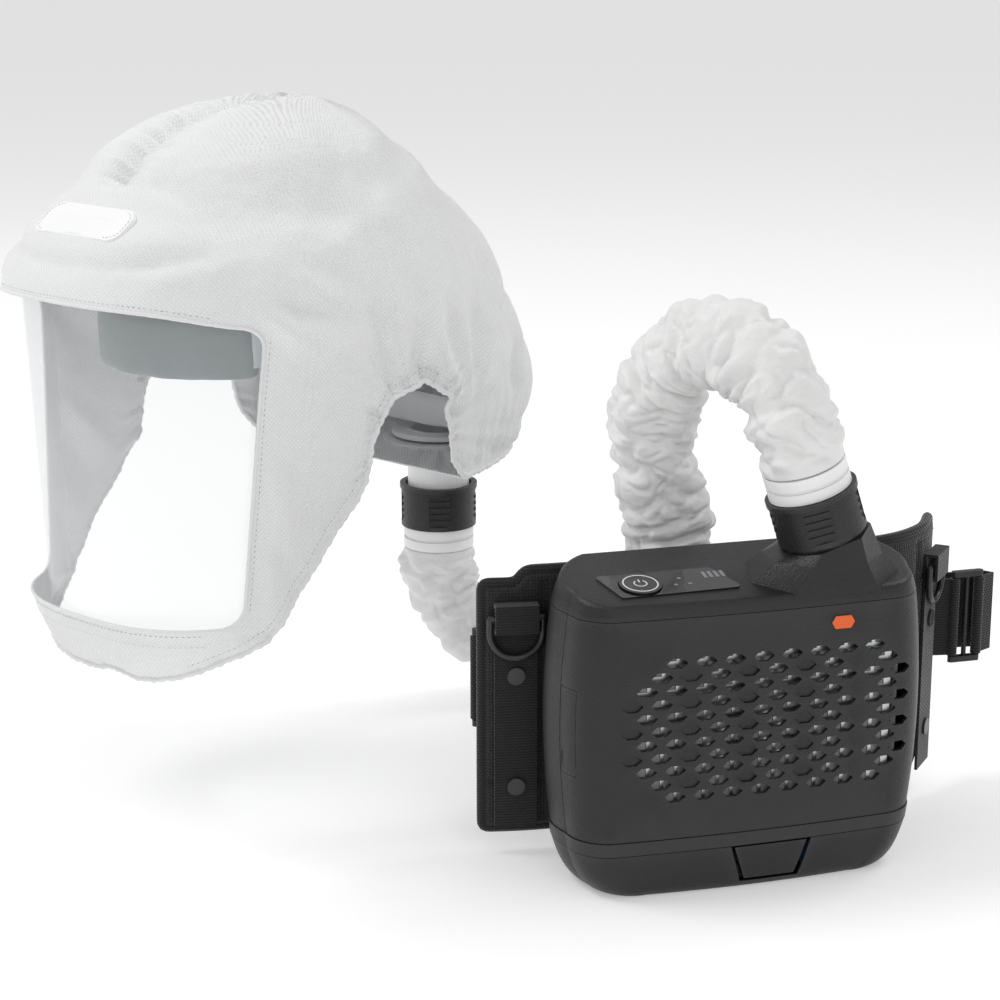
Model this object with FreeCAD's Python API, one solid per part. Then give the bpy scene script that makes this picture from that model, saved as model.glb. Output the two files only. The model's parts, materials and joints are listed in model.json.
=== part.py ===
"""Powered air respirator: a loose-fitting hood with its harness, a breathing hose and a belt-worn blower.

Millimetres, +Z up. The origin is the middle of the wearer's head at headband level. The wearer faces
-Y and the wearer's left is +X. The blower, its belt and the lower end of the hose are drawn in the
blower's own frame (front towards -Y, underside at z = 0) and then set down beside the hood.
"""
import FreeCAD, Part
import math
import os

V = FreeCAD.Vector

# ---- hood ----
FABRIC = 1.6                    # thickness of the hood fabric
# horizontal sections of the hood: height, front, back, half width, where it is widest
HOOD_SECTIONS = [
    (-195, -118, 62, 78, -50),
    (-178, -131, 96, 87, -35),
    (-158, -139, 140, 94, -25),
    (-110, -143, 188, 98.5, -10),
    (-60, -146, 213, 102.5, 5),
    (-20, -147, 196, 105, 12),
    (20, -148, 165, 107, 10),
    (45, -145, 145, 104, 8),
    (60, -134, 135, 95, 8),
    (72, -117, 123, 84, 14),
    (86, -102, 105, 77, 20),
    (100, -87, 85, 70, 26),
    (112, -63, 65, 56, 30),
    (120, -38, 47, 36, 33),
    (124, -8, 40, 16, 34),
]
FRONT_SQUARENESS = 2.8          # 2 is an ellipse, more is squarer
BACK_SQUARENESS = 2.1
HEM_LINE = [(-122, -189), (-77, -164), (-45, -125), (-9, -84), (-5, -60), (10, -37), (36, -30),
            (62, -45), (70, -84)]   # side view of the hem: chin, cheek, ear, nape
NAPE_Z = -100                   # level of the fabric floor behind the neck
NAPE_FRONT = 84                 # where that floor starts, behind the neck
ELASTIC = 1.2                   # thickness of the elastic tape in the hem
ELASTIC_WIDTH = 7
CHIN_SEAM_Z = -160
BROW_SEAM_Z = 52
CHEEK_BACK = -52                # seam between the cheek panels and the crown

LABEL_AT = V(0, -123.5, 69.5)
LABEL_TILT = 36

# ---- visor ----
VISOR_CENTRE_Y = -43
VISOR_TOP = 34
VISOR_BOTTOM = -164
VISOR_THICK = 1.0
VISOR_LOW_R, VISOR_HIGH_R = 93, 101   # the sheet is a cone, wider at the brow
WINDOW_TOP = 18
WINDOW_BOTTOM = -154
WINDOW_HALF = 101
WINDOW_BACK = -80

# ---- head harness ----
BAND_Z = -5
BAND_RX = 80
BAND_RY = 98
BAND_Y = 4
BAND_HEIGHT = 20
PAD_HEIGHT = 34
DUCT_HALF = 32
DUCT_WALL = 1.2
KNOB_R = 21

# ---- hose and its connectors ----
HOSE_D = 45
SPIGOT_Y = 156                  # axis of the hood's air inlet
COLLAR_R = 24.5
TUBE_R = 20
HOSE_TOP = NAPE_Z - 74          # where the hose enters the upper cuff

# ---- blower ----
BLOWER_AT = V(315, 63, -283)
BLOWER_TURN = 58                # degrees about +Z
HALF_W = 103                    # half width at mid height
COVER_FRONT = 25
HOUSING_BACK = 47
BATTERY_TOP = 26
RIM_TOP = 34
COVER_TOP = 158
TOP_MID = 169.5                 # height of the sloping top above the side seam plane
TOP_TILT = 10                   # degrees the top rises towards the back
WALL = 2.4
SPLIT = 0.35                    # gap between separate mouldings
INLET_WALL_Y = 2
SCREW_X = (-80, 80)
SCREW_Z = (62, 150)
FAN_X, FAN_Z = 10, 92
HEX_W, HEX_H = 12.0, 5.6        # grille hole
HEX_DX, HEX_DZ = 16.2, 15.0     # grille pitch
GRILLE_X, GRILLE_TOP = -46, 133 # first hole of the top row
GRILLE_ROWS = 6
DIMPLE_Y = 23.6
BADGE = [(41, 148), (43, 151.5), (52, 151.5), (54, 148), (52, 144.5), (43, 144.5)]
LATCH_Y0, LATCH_Z0, LATCH_Z1 = -13, 71, 119
LATCH_CX = 10                   # middle of the battery's press latch
BUTTON_X, BUTTON_Y, BUTTON_R = -59, 0, 11.5
SPOUT_MOUTH = V(46, 3, 190)
SPIGOT_LEN = 18
COLLAR_H = 26
CUFF_BODY = 14
CUFF_END = 0.5 + COLLAR_H + 0.3 + CUFF_BODY   # where the hose enters the lower cuff
SPOUT_TILT = 18                 # lean of the spout towards the wearer's side, degrees

# ---- belt ----
PAD_T = 8
BELT_BOTTOM, BELT_TOP = 16, 166
WEB_T = 1.6
WAIST_WEB = 48
BAND_MID = 102                  # height of the waist webbing
RING_HALF = 14.6                # half width of a D-ring, to the middle of its wire
RING_Y = -4.2
LEFT_RING = 0.06                # places of the D-rings along the pad line
RIGHT_RING = 0.93
BAR_R = 1.5                     # slider bars
BAR_FIT = 0.08
SLIDER_RIGHT = ((176, 98), (192, 98))      # first and last bar
RIGHT_RUN = [(194.4, 99), (204, 104), (200, 109), (166, 112), (140, 96), (112, 78), (72, 72)]
SLIDER_LEFT = ((-114, 70.5), (-130, 70.5))
LEFT_RUN = [(-130, 72.9), (-120, 75.3), (-76, 78.3), (-74, 81), (-118, 84.5), (-118, 88), (-74, 91.4)]


def save(node, shape):
    """Write one node; several loose solids become one compound."""
    solids = shape.Solids
    if not solids or not all(s.isValid() for s in solids):
        print("CHECK", node, len(solids), [s.isValid() for s in solids])
    shape = solids[0] if len(solids) == 1 else Part.makeCompound(solids)
    shape.exportStep(os.path.join("parts", node + ".step"))


def block(x0, x1, y0, y1, z0, z1):
    return Part.makeBox(x1 - x0, y1 - y0, z1 - z0, V(x0, y0, z0))


def rod(centre, direction, radius, length):
    return Part.makeCylinder(radius, length, centre, direction)


def tube(centre, direction, outer, inner, length):
    return rod(centre, direction, outer, length).cut(rod(centre, direction, inner, length))


def prism_x(points, x0, x1):
    """A side-view (y, z) polygon pushed from x0 to x1."""
    ring = [V(x0, y, z) for y, z in points]
    return Part.Face(Part.makePolygon(ring + ring[:1])).extrude(V(x1 - x0, 0, 0))


def prism_y(points, y0, y1):
    """A front-view (x, z) polygon pushed from y0 to y1."""
    ring = [V(x, y0, z) for x, z in points]
    return Part.Face(Part.makePolygon(ring + ring[:1])).extrude(V(0, y1 - y0, 0))


def prism_z(points, z0, z1):
    """A plan (x, y) polygon pushed from z0 to z1."""
    ring = [V(x, y, z0) for x, y in points]
    return Part.Face(Part.makePolygon(ring + ring[:1])).extrude(V(0, 0, z1 - z0))


def rounded(shape, radius, pick):
    """Round the edges that pick(edge) chooses."""
    edges = [e for e in shape.Edges if pick(e)]
    return shape.makeFillet(radius, edges)


def upright(edge):
    """True for a straight vertical edge."""
    a = edge.Vertexes[0].Point
    b = edge.Vertexes[-1].Point
    return abs(a.z - b.z) > 0.3 and abs(a.x - b.x) < 0.01 and abs(a.y - b.y) < 0.01


def at_blower(shape):
    """Move a shape from the blower's own frame to its place beside the hood."""
    shape = shape.copy()
    shape.rotate(V(0, 0, 0), V(0, 0, 1), BLOWER_TURN)
    shape.translate(BLOWER_AT)
    return shape


def blower_point(x, y, z):
    turn = FreeCAD.Rotation(V(0, 0, 1), BLOWER_TURN)
    return turn.multVec(V(x, y, z)).add(BLOWER_AT)


# ================= hood =================

def hood_ring(section, inset, lift):
    """One closed horizontal section of the hood, drawn in by inset."""
    z, front, back, half, widest = section
    points = []
    for k in range(28):
        t = 2 * math.pi * k / 28
        c, s = math.cos(t), math.sin(t)
        power = 2 / (FRONT_SQUARENESS if s < 0 else BACK_SQUARENESS)
        reach = widest - front - inset if s < 0 else back - inset - widest
        x = (half - inset) * math.copysign(abs(c) ** power, c)
        y = widest + reach * math.copysign(abs(s) ** power, s)
        points.append(V(x, y, z + lift))
    curve = Part.BSplineCurve()
    curve.interpolate(points, PeriodicFlag=True)
    return Part.Wire([curve.toShape()])


def hood_form(inset):
    """The hood's whole outer form drawn in by inset, as a solid."""
    last = len(HOOD_SECTIONS) - 1
    rings = []
    for k, section in enumerate(HOOD_SECTIONS):
        lift = -inset * max(0.0, (k - 6) / (last - 6))
        rings.append(hood_ring(section, inset, lift))
    return Part.makeLoft(rings, True, False)


def below_hem(raise_by):
    """Everything under the hem line, which the fabric leaves out."""
    line = [(y, z + raise_by) for y, z in HEM_LINE]
    line = [(-260, HEM_LINE[0][1] + raise_by)] + line
    line += [(NAPE_FRONT, NAPE_Z + raise_by), (300, NAPE_Z + raise_by), (300, -300), (-260, -300)]
    return prism_x(line, -200, 200)


def window_cutter():
    """The visor opening: a rounded slab through the front of the hood."""
    slab = block(-WINDOW_HALF, WINDOW_HALF, -260, WINDOW_BACK, WINDOW_BOTTOM, WINDOW_TOP)
    corners = [e for e in slab.Edges if abs(e.Vertexes[0].Point.y - e.Vertexes[-1].Point.y) > 1]
    return slab.makeFillet(14, corners)


def hood_panels():
    """The sewn panels: two crown halves, brow band, two cheeks, chin piece and nape piece."""
    fabric = hood_form(0).cut(hood_form(FABRIC)).cut(below_hem(0)).cut(window_cutter())
    chin = fabric.common(block(-200, 200, -260, CHEEK_BACK, -200, CHIN_SEAM_Z))
    cheeks = fabric.common(block(-200, 200, -260, CHEEK_BACK, CHIN_SEAM_Z, WINDOW_TOP))
    brow = fabric.common(block(-200, 200, -260, CHEEK_BACK, WINDOW_TOP, BROW_SEAM_Z))
    crown = fabric.cut(block(-200, 200, -260, CHEEK_BACK, -200, BROW_SEAM_Z))
    floor = hood_form(FABRIC).common(block(-200, 200, NAPE_FRONT, 300, NAPE_Z, NAPE_Z + FABRIC))
    floor = floor.cut(rod(V(0, SPIGOT_Y, -200), V(0, 0, 1), TUBE_R + 0.1, 150))
    save("crown_left", crown.common(block(0, 200, -260, 300, -200, 200)))
    save("crown_right", crown.common(block(-200, 0, -260, 300, -200, 200)))
    save("brow_band", brow)
    save("cheek_left", cheeks.common(block(0, 200, -260, 0, -200, 200)))
    save("cheek_right", cheeks.common(block(-200, 0, -260, 0, -200, 200)))
    save("chin_piece", chin)
    save("nape_piece", floor)


def hem_elastic():
    """Elastic tape inside the hem, all round the chin, cheeks, ears and nape."""
    layer = hood_form(FABRIC + 0.05).cut(hood_form(FABRIC + 0.05 + ELASTIC))
    tape = layer.cut(below_hem(2)).common(below_hem(2 + ELASTIC_WIDTH))
    tape = tape.cut(block(-200, 200, NAPE_FRONT - 4, 300, -200, 0))
    lift = NAPE_Z + FABRIC + 0.05
    nape = block(-60, 60, NAPE_FRONT + 2, NAPE_FRONT + 2 + ELASTIC_WIDTH, lift, lift + ELASTIC)
    tape = tape.cut(block(-200, 200, -260, -40, -180, 60).cut(block(-90, 90, -260, -40, -300, -160)))
    save("hem_elastic", Part.makeCompound(tape.Solids + [nape]))


def visor():
    """The clear window, a conical sheet sewn to the inside of the opening."""
    def wedge(inset):
        rings = []
        for z, radius in ((VISOR_BOTTOM, VISOR_LOW_R), (VISOR_TOP, VISOR_HIGH_R)):
            r = radius - inset
            circle = Part.makeCircle(r, V(0, VISOR_CENTRE_Y, z), V(0, 0, 1))
            rings.append(Part.Wire([circle]))
        return Part.makeLoft(rings, True, True)
    sheet = wedge(0).cut(wedge(VISOR_THICK))
    sheet = sheet.common(block(-200, 200, -260, WINDOW_BACK + 2, -300, 300))
    save("visor", sheet.cut(below_hem(10)))


def label_patch():
    """The plain patch sewn over the brow ledge, laid along the slope of the fabric."""
    patch = block(-36, 36, -12, 12, 0, 1)
    patch = rounded(patch, 8, upright)
    patch.rotate(V(0, 0, 0), V(1, 0, 0), LABEL_TILT)
    patch.translate(LABEL_AT)
    save("label_patch", patch.cut(hood_form(-0.3)))


def air_duct():
    """Flat duct that carries the air from the inlet up the back and over the crown to the brow."""
    outer = [(184, -90), (184, -45), (156, 12), (128, 48), (92, 78), (50, 98), (8, 100), (-42, 94), (-84, 74)]
    inner = [(-78, 64), (-38, 83), (10, 88.5), (46, 86.5), (82, 68), (112, 40), (140, 6), (165, -43),
             (138, -70), (138, -90)]
    line = [V(0, y, z) for y, z in outer + inner]
    wall = Part.makePolygon(line + line[:1])
    inside = Part.Face(wall.makeOffset2D(-DUCT_WALL)).extrude(V(2 * DUCT_HALF - 2 * DUCT_WALL, 0, 0))
    inside.translate(V(-DUCT_HALF + DUCT_WALL, 0, 0))
    duct = prism_x(outer + inner, -DUCT_HALF, DUCT_HALF).cut(inside)
    duct = duct.cut(rod(V(0, SPIGOT_Y, -95), V(0, 0, 1), TUBE_R - 2, 12))
    mouth = block(-DUCT_HALF + 2, DUCT_HALF - 2, -100, -80.5, 60, 80)
    save("air_duct", duct.cut(mouth))


# ================= harness =================

def band_wire(rx, ry, z):
    ellipse = Part.Ellipse(V(0, BAND_Y, z), ry, rx)
    shape = ellipse.toShape()
    shape.rotate(V(0, BAND_Y, z), V(0, 0, 1), 90)
    return Part.Wire([shape])


def band_ring(inner, outer, z0, z1):
    """Upright oval ring round the head between two clearances from the band line."""
    out = Part.Face(band_wire(BAND_RX + outer, BAND_RY + outer, z0)).extrude(V(0, 0, z1 - z0))
    gap = Part.Face(band_wire(BAND_RX + inner, BAND_RY + inner, z0)).extrude(V(0, 0, z1 - z0))
    return out.cut(gap)


def harness():
    """Headband, brow pad, two crown straps, hood studs and the ratchet with its knob."""
    low, high = BAND_Z - BAND_HEIGHT / 2, BAND_Z + BAND_HEIGHT / 2
    band = band_ring(0, 2.2, low, high)
    back = block(-34, 34, BAND_RY - 6, BAND_RY + 20, low - 1, high + 1)
    save("headband", band.cut(back))
    pad = band_ring(-7, -0.1, BAND_Z - PAD_HEIGHT / 2, BAND_Z + PAD_HEIGHT / 2)
    lap = band_ring(-0.1, 3.2, BAND_Z + BAND_HEIGHT / 2 + 0.2, BAND_Z + PAD_HEIGHT / 2)
    lap = lap.fuse(band_ring(-0.1, 3.2, BAND_Z - PAD_HEIGHT / 2, BAND_Z - BAND_HEIGHT / 2 - 0.2))
    front = block(-64, 64, -140, BAND_Y - 40, -60, 60)
    save("brow_pad", pad.fuse(lap).common(front))
    save("crown_straps", Part.makeCompound([crown_strap(-34, 0), crown_strap(46, 1.6)]))
    studs = []
    for side in (1, -1):
        stud = rod(V(side * 82.5, BAND_Y, BAND_Z), V(side, 0, 0), 4, 9)
        studs.append(stud.fuse(rod(V(side * 91.5, BAND_Y, BAND_Z), V(side, 0, 0), 9, 2.5)))
    save("temple_studs", Part.makeCompound(studs))
    housing = block(-34, 34, BAND_RY - 2, BAND_RY + 14, BAND_Z - 16, BAND_Z + 16)
    housing = rounded(housing, 4, upright)
    hub_at = V(0, BAND_RY + 14, BAND_Z)
    housing = housing.cut(block(-31, 31, BAND_RY, BAND_RY + 9, BAND_Z - 13, BAND_Z + 13))
    housing = housing.cut(rod(hub_at - V(0, 10, 0), V(0, 1, 0), 5.05, 12))
    save("ratchet_housing", housing)
    knob = rod(hub_at + V(0, 0.4, 0), V(0, 1, 0), KNOB_R, 13)
    for k in range(18):
        t = 2 * math.pi * k / 18
        groove = V(KNOB_R * math.cos(t), 0, KNOB_R * math.sin(t))
        knob = knob.cut(rod(hub_at + groove, V(0, 1, 0), 2.2, 15))
    knob = knob.fuse(rod(hub_at - V(0, 11, 0), V(0, 1, 0), 5, 12))
    save("ratchet_knob", knob)
    pinion = rod(hub_at - V(0, 11, 0), V(0, 1, 0), 7, 4)
    teeth = []
    for k in range(12):
        t = 2 * math.pi * k / 12
        centre = hub_at + V(8 * math.cos(t), -11, 8 * math.sin(t))
        teeth.append(rod(centre, V(0, 1, 0), 1.3, 4))
    pinion = pinion.cut(Part.makeCompound(teeth)).cut(rod(hub_at - V(0, 12, 0), V(0, 1, 0), 5, 6))
    save("ratchet_pinion", pinion)


def crown_strap(tilt, lift):
    """One strap over the top of the head, from temple to temple."""
    outer = Part.makeCylinder(BAND_RX + 1.6 + lift, 16, V(0, -8, 0), V(0, 1, 0))
    inner = Part.makeCylinder(BAND_RX + 0.2 + lift, 16, V(0, -8, 0), V(0, 1, 0))
    arch = outer.cut(inner)
    arch = arch.common(block(-200, 200, -20, 20, 0, 200))
    arch.rotate(V(0, 0, 0), V(1, 0, 0), -tilt)
    arch.translate(V(0, BAND_Y + 4 * math.copysign(1, tilt), BAND_Z + 14))
    return arch


# ================= hood connector and hose =================

def hood_connector():
    """Inlet flange and spigot of the hood, its seal, and the turning collar that locks the hose on."""
    z = NAPE_Z
    up = V(0, 0, 1)
    at = V(0, SPIGOT_Y, 0)
    flange = tube(at + V(0, 0, z - 3), up, 36, TUBE_R - 2.5, 2.9)
    ridge = tube(at + V(0, 0, z - 14), up, 22, TUBE_R - 2.5, 4)
    spigot = tube(at + V(0, 0, z - 48), up, TUBE_R, TUBE_R - 2.5, 46)
    save("inlet_flange", flange.fuse(ridge).fuse(spigot))
    nut = tube(at + V(0, 0, z + FABRIC + 0.1), up, 30, TUBE_R + 0.2, 3)
    rim = tube(at + V(0, 0, z - 1), up, TUBE_R, TUBE_R - 2.5, 6)
    save("inlet_nut", nut.fuse(rim.cut(rod(at + V(0, 0, z - 1.1), up, 30, 1.1))))
    ring = collar(28)
    ring.translate(V(0, SPIGOT_Y, z - 59.7))
    save("upper_collar", ring)


def collar(height):
    """Turning locking ring: facets and a ribbed thumb panel outside, a plain bore inside."""
    up = V(0, 0, 1)
    ring = tube(V(0, 0, 0), up, COLLAR_R, TUBE_R + 1.6, height)
    top = tube(V(0, 0, height - 3), up, COLLAR_R + 0.8, TUBE_R + 1.6, 3)
    ring = ring.fuse(top)
    for k in range(4):
        t = math.radians(45 + 90 * k)
        flat = block(COLLAR_R - 0.9, COLLAR_R + 6, -9, 9, 3, height - 5)
        flat.rotate(V(0, 0, 0), V(0, 0, 1), math.degrees(t))
        ring = ring.cut(flat)
        for row in range(4):
            rib = block(COLLAR_R - 1.4, COLLAR_R - 0.2, -7, 7, 5.5 + 4.2 * row, 7.5 + 4.2 * row)
            rib.rotate(V(0, 0, 0), V(0, 0, 1), math.degrees(t))
            ring = ring.fuse(rib)
    return ring.removeSplitter()


def cuff():
    """White moulded hose cuff, drawn from its hose end upwards; its neck fits inside the collar."""
    up = V(0, 0, 1)
    body = tube(V(0, 0, 0), up, COLLAR_R - 1.6, TUBE_R - 3, CUFF_BODY)
    groove = tube(V(0, 0, CUFF_BODY / 2 - 1), up, COLLAR_R, COLLAR_R - 2.6, 2)
    neck = tube(V(0, 0, CUFF_BODY), up, TUBE_R + 1.3, TUBE_R + 0.3, 10)
    step = tube(V(0, 0, CUFF_BODY - 0.1), up, TUBE_R + 1.3, TUBE_R - 3, 1)
    return body.cut(groove).fuse(neck).fuse(step)


def spout_point(along):
    """Point on the spout's axis, this far beyond its mouth."""
    tilt = FreeCAD.Rotation(V(0, 1, 0), -SPOUT_TILT)
    return tilt.multVec(V(0, 0, along)).add(SPOUT_MOUTH)


def on_spout(shape, along):
    """Set a shape drawn along +Z on the spout's axis, this far beyond its mouth."""
    shape = shape.copy()
    shape.rotate(V(0, 0, 0), V(0, 1, 0), -SPOUT_TILT)
    shape.translate(spout_point(along))
    return shape


HOSE_ROUTE = [
    blower_point(*spout_point(CUFF_END)), blower_point(*spout_point(CUFF_END + 28)),
    blower_point(16, 15, 282), blower_point(1, 42, 292), blower_point(-13, 69, 282),
    blower_point(-21, 86, 254), blower_point(-20, 92, 220), blower_point(-12, 95, 185),
    blower_point(-3, 98, 151), blower_point(1, 101, 116), blower_point(-1, 105, 80),
    V(224, 140, -236), V(208, 170, -256), V(180, 202, -260), V(142, 224, -260.2), V(100, 230, -260),
    V(60, 218, -259.5), V(28, 194, -250), V(8, 170, -229), V(0, 156, -202), V(0, SPIGOT_Y, HOSE_TOP),
]


def hose():
    """The breathing hose: straight runs joined by tangent arcs."""
    points = HOSE_ROUTE
    edges = []
    radii = []
    length = 0
    start = points[0]
    for k in range(1, len(points) - 1):
        before = points[k].sub(points[k - 1])
        after = points[k + 1].sub(points[k])
        turn = before.getAngle(after)
        cut = 0.45 * min(before.Length, after.Length)
        radius = cut / math.tan(turn / 2)
        enter = points[k].sub(V(before).normalize().multiply(cut))
        leave = points[k].add(V(after).normalize().multiply(cut))
        inward = V(after).normalize().sub(V(before).normalize()).normalize()
        centre = points[k].add(V(inward).multiply(radius / math.cos(turn / 2)))
        middle = centre.sub(V(inward).multiply(radius))
        edges.append(Part.LineSegment(start, enter).toShape())
        edges.append(Part.Arc(enter, middle, leave).toShape())
        length += start.distanceToPoint(enter) + radius * turn
        radii.append(radius)
        start = leave
    edges.append(Part.LineSegment(start, points[-1]).toShape())
    length += start.distanceToPoint(points[-1])
    path = Part.Wire(edges)
    heading = points[1].sub(points[0])
    profile = Part.Wire([Part.makeCircle(HOSE_D / 2, points[0], heading)])
    body = path.makePipeShell([profile], True, False)
    print("hose length", round(length, 1), "radii", [round(r) for r in radii])
    print("hose volume ratio", round(body.Volume / (math.pi * HOSE_D ** 2 / 4 * length), 4))
    save("breathing_hose", body)


def hose_cuffs():
    """The white cuffs at the two ends of the hose, and the sealing ring on each spigot."""
    upper = cuff()
    upper.translate(V(0, SPIGOT_Y, HOSE_TOP))
    lower = cuff()
    lower.rotate(V(0, 0, 0), V(1, 0, 0), 180)
    save("hose_cuffs", Part.makeCompound([upper, at_blower(on_spout(lower, CUFF_END))]))
    seal = tube(V(0, 0, -1.2), V(0, 0, 1), TUBE_R + 1.2, TUBE_R + 0.02, 2.4)
    lower_seal = at_blower(on_spout(seal, SPIGOT_LEN - 5))
    seal.translate(V(0, SPIGOT_Y, NAPE_Z - 43))
    save("spigot_seals", Part.makeCompound([seal, lower_seal]))


# ================= blower =================

def half_at(z):
    """Half width of the blower at a height: its sides bow out slightly in the middle."""
    middle = (RIM_TOP + COVER_TOP) / 2
    reach = (COVER_TOP - RIM_TOP) / 2
    return HALF_W - 4 * ((z - middle) / reach) ** 2


def front_edges(half, front, z):
    """Front of the outline, from the left side seam round to the right side seam."""
    corner = 23
    depth = front - 2.5
    left = [V(-half, 0, z), V(-half + 0.29 * corner, -0.707 * depth, z), V(-half + corner, -depth, z)]
    right = [V(half - corner, -depth, z), V(half - 0.29 * corner, -0.707 * depth, z), V(half, 0, z)]
    middle = Part.Arc(left[2], V(0, -front, z), right[0])
    return [Part.Arc(*left).toShape(), middle.toShape(), Part.Arc(*right).toShape()]


def back_edges(half, back, z):
    """Back of the outline, from the right side seam round to the left side seam."""
    corner = 16
    right = [V(half, 0, z), V(half - 2, back * 0.72, z), V(half - corner, back, z)]
    left = [V(-half + corner, back, z), V(-half + 2, back * 0.72, z), V(-half, 0, z)]
    middle = Part.LineSegment(right[2], left[0]).toShape()
    return [Part.Arc(*right).toShape(), middle, Part.Arc(*left).toShape()]


def slab(levels, part):
    """Loft through (height, half, front, back) levels; part is whole, front or back."""
    rings = []
    for z, half, front, back in levels:
        seam = Part.LineSegment(V(half, 0, z), V(-half, 0, z))
        edges = []
        if part in ("whole", "front"):
            edges += front_edges(half, front, z)
        if part == "front":
            edges.append(seam.toShape())
        if part == "back":
            edges.append(seam.toShape().reversed())
        if part in ("whole", "back"):
            edges += back_edges(half, back, z)
        rings.append(Part.Wire(Part.__sortEdges__(edges)))
    return Part.makeLoft(rings, True, False)


def body_levels(z0, z1, inset):
    """Levels of the straight part of the blower, drawn in by inset."""
    levels = []
    for k in range(5):
        z = z0 + (z1 - z0) * k / 4
        levels.append((z, half_at(z) - inset, COVER_FRONT - inset, HOUSING_BACK - inset))
    return levels


def hexagon(x, z, width, height, y0, y1):
    """Stretched hexagon through the front, points to the left and right."""
    w, h = width / 2, height / 2
    ring = [(x - w, z), (x - w * 0.45, z + h), (x + w * 0.45, z + h),
            (x + w, z), (x + w * 0.45, z - h), (x - w * 0.45, z - h)]
    return prism_y(ring, y0, y1)


def grille_cutters():
    """Open inlet holes in staggered rows, and the blank dimples that carry on the pattern."""
    holes = []
    dimples = []
    for row in range(GRILLE_ROWS):
        z = GRILLE_TOP - row * HEX_DZ
        first, last = (0, 7) if row in (0, GRILLE_ROWS - 1) else (-1, 8)
        for column in range(first, last + 1):
            holes.append(hexagon(GRILLE_X + column * HEX_DX, z, HEX_W, HEX_H, -40, -10))
        if first == 0:
            dimples.append(hexagon(GRILLE_X - HEX_DX, z, HEX_W, HEX_H, -40, -DIMPLE_Y))
    for row in range(GRILLE_ROWS - 1):
        z = GRILLE_TOP - (row + 0.5) * HEX_DZ
        for step in range(-1, 8):
            x = GRILLE_X + (step + 0.5) * HEX_DX
            if step % 2:
                holes.append(hexagon(x, z, HEX_W, HEX_H, -40, -10))
            else:
                dimples.append(hexagon(x, z, HEX_W, HEX_H, -40, -DIMPLE_Y))
        if 0 < row < GRILLE_ROWS - 2:
            dimples.append(hexagon(GRILLE_X - 1.5 * HEX_DX, z, HEX_W, HEX_H, -40, -DIMPLE_Y + 1.5))
    return holes, dimples


def filter_cover():
    """Front cover with its grille, the badge recess, and a pocket for the release latch on its left."""
    shell = slab(body_levels(RIM_TOP + SPLIT, COVER_TOP - SPLIT, 0), "front")
    inside = slab(body_levels(RIM_TOP + WALL, COVER_TOP - WALL, WALL), "front")
    shell = shell.cut(inside)
    holes, dimples = grille_cutters()
    shell = shell.cut(Part.makeCompound(holes))
    shell = shell.cut(Part.makeCompound(dimples))
    shell = shell.cut(block(-110, -94, LATCH_Y0 - 0.3, 2, LATCH_Z0 - 0.3, LATCH_Z1 + 0.3))
    badge = prism_y(BADGE, -40, -23.6)
    shell = shell.cut(badge)
    save("filter_cover", at_blower(shell))
    plate = prism_y(BADGE, -24.9, -23.7)
    save("badge", at_blower(plate))
    tab = slab(body_levels(LATCH_Z0, LATCH_Z1, 0), "front")
    tab = tab.common(block(-110, -96, LATCH_Y0, -0.4, LATCH_Z0, LATCH_Z1))
    tab = tab.cut(block(-110, half_at(100) * -1 + 0.7, LATCH_Y0 + 1.6, -2, LATCH_Z0 + 4, LATCH_Z0 + 12))
    save("cover_latch", at_blower(tab))


def filter_pack():
    """Spark arrestor, prefilter and the pleated main filter in its frame, snapped into the cover."""
    z0, z1 = RIM_TOP + 5, COVER_TOP - 5
    mesh = block(-79, 79, -19.4, -18.6, z0, z1)
    holes = []
    for column in range(19):
        for row in range(13):
            x = -72 + 8 * column
            z = z0 + 9 + 8 * row
            holes.append(block(x - 3, x + 3, -20, -18, z - 3, z + 3))
    save("spark_arrestor", at_blower(mesh.cut(Part.makeCompound(holes))))
    save("prefilter", at_blower(block(-79, 79, -18.4, -15.4, z0, z1)))
    frame = block(-85, 85, -15.2, -0.8, z0 - 1, z1 + 1)
    frame = frame.cut(block(-82, 82, -16, 1, z0 + 3, z1 - 3))
    save("filter_frame", at_blower(frame))
    ring = []
    pleats = 40
    for k in range(pleats + 1):
        ring.append((-81.8 + 163.6 * k / pleats, -14.6 if k % 2 else -2.6))
    back = [(x, y + 1.4) for x, y in reversed(ring)]
    save("filter_media", at_blower(prism_z(ring + back, z0 + 3.1, z1 - 3.1)))
    seal = block(-84, 84, -0.7, 1.8, z0 + 1, z1 - 1).cut(block(-79, 79, -1, 3, z0 + 6, z1 - 6))
    save("filter_seal", at_blower(seal))


def housing():
    """Rear housing: side walls, back wall and the inlet wall that the filter seals against."""
    shell = slab(body_levels(RIM_TOP + SPLIT, COVER_TOP - SPLIT, 0), "back")
    shell = shell.cut(block(-120, 120, -1, SPLIT, 0, 200))
    inside = slab(body_levels(RIM_TOP + WALL, COVER_TOP - WALL, WALL), "back")
    shell = shell.cut(inside.common(block(-120, 120, INLET_WALL_Y + WALL, 60, 0, 200)))
    shell = shell.cut(inside.common(block(-120, 120, -1, INLET_WALL_Y, 0, 200)))
    shell = shell.cut(rod(V(FAN_X, 0, FAN_Z), V(0, 1, 0), 26, 6))
    shell = shell.cut(block(28, 62, 12, 34, COVER_TOP - 6, COVER_TOP + 2))
    for x in SCREW_X:
        for z in SCREW_Z:
            shell = shell.cut(rod(V(x, HOUSING_BACK - 8, z), V(0, 1, 0), 2.1, 20))
    save("rear_housing", at_blower(shell))


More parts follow.
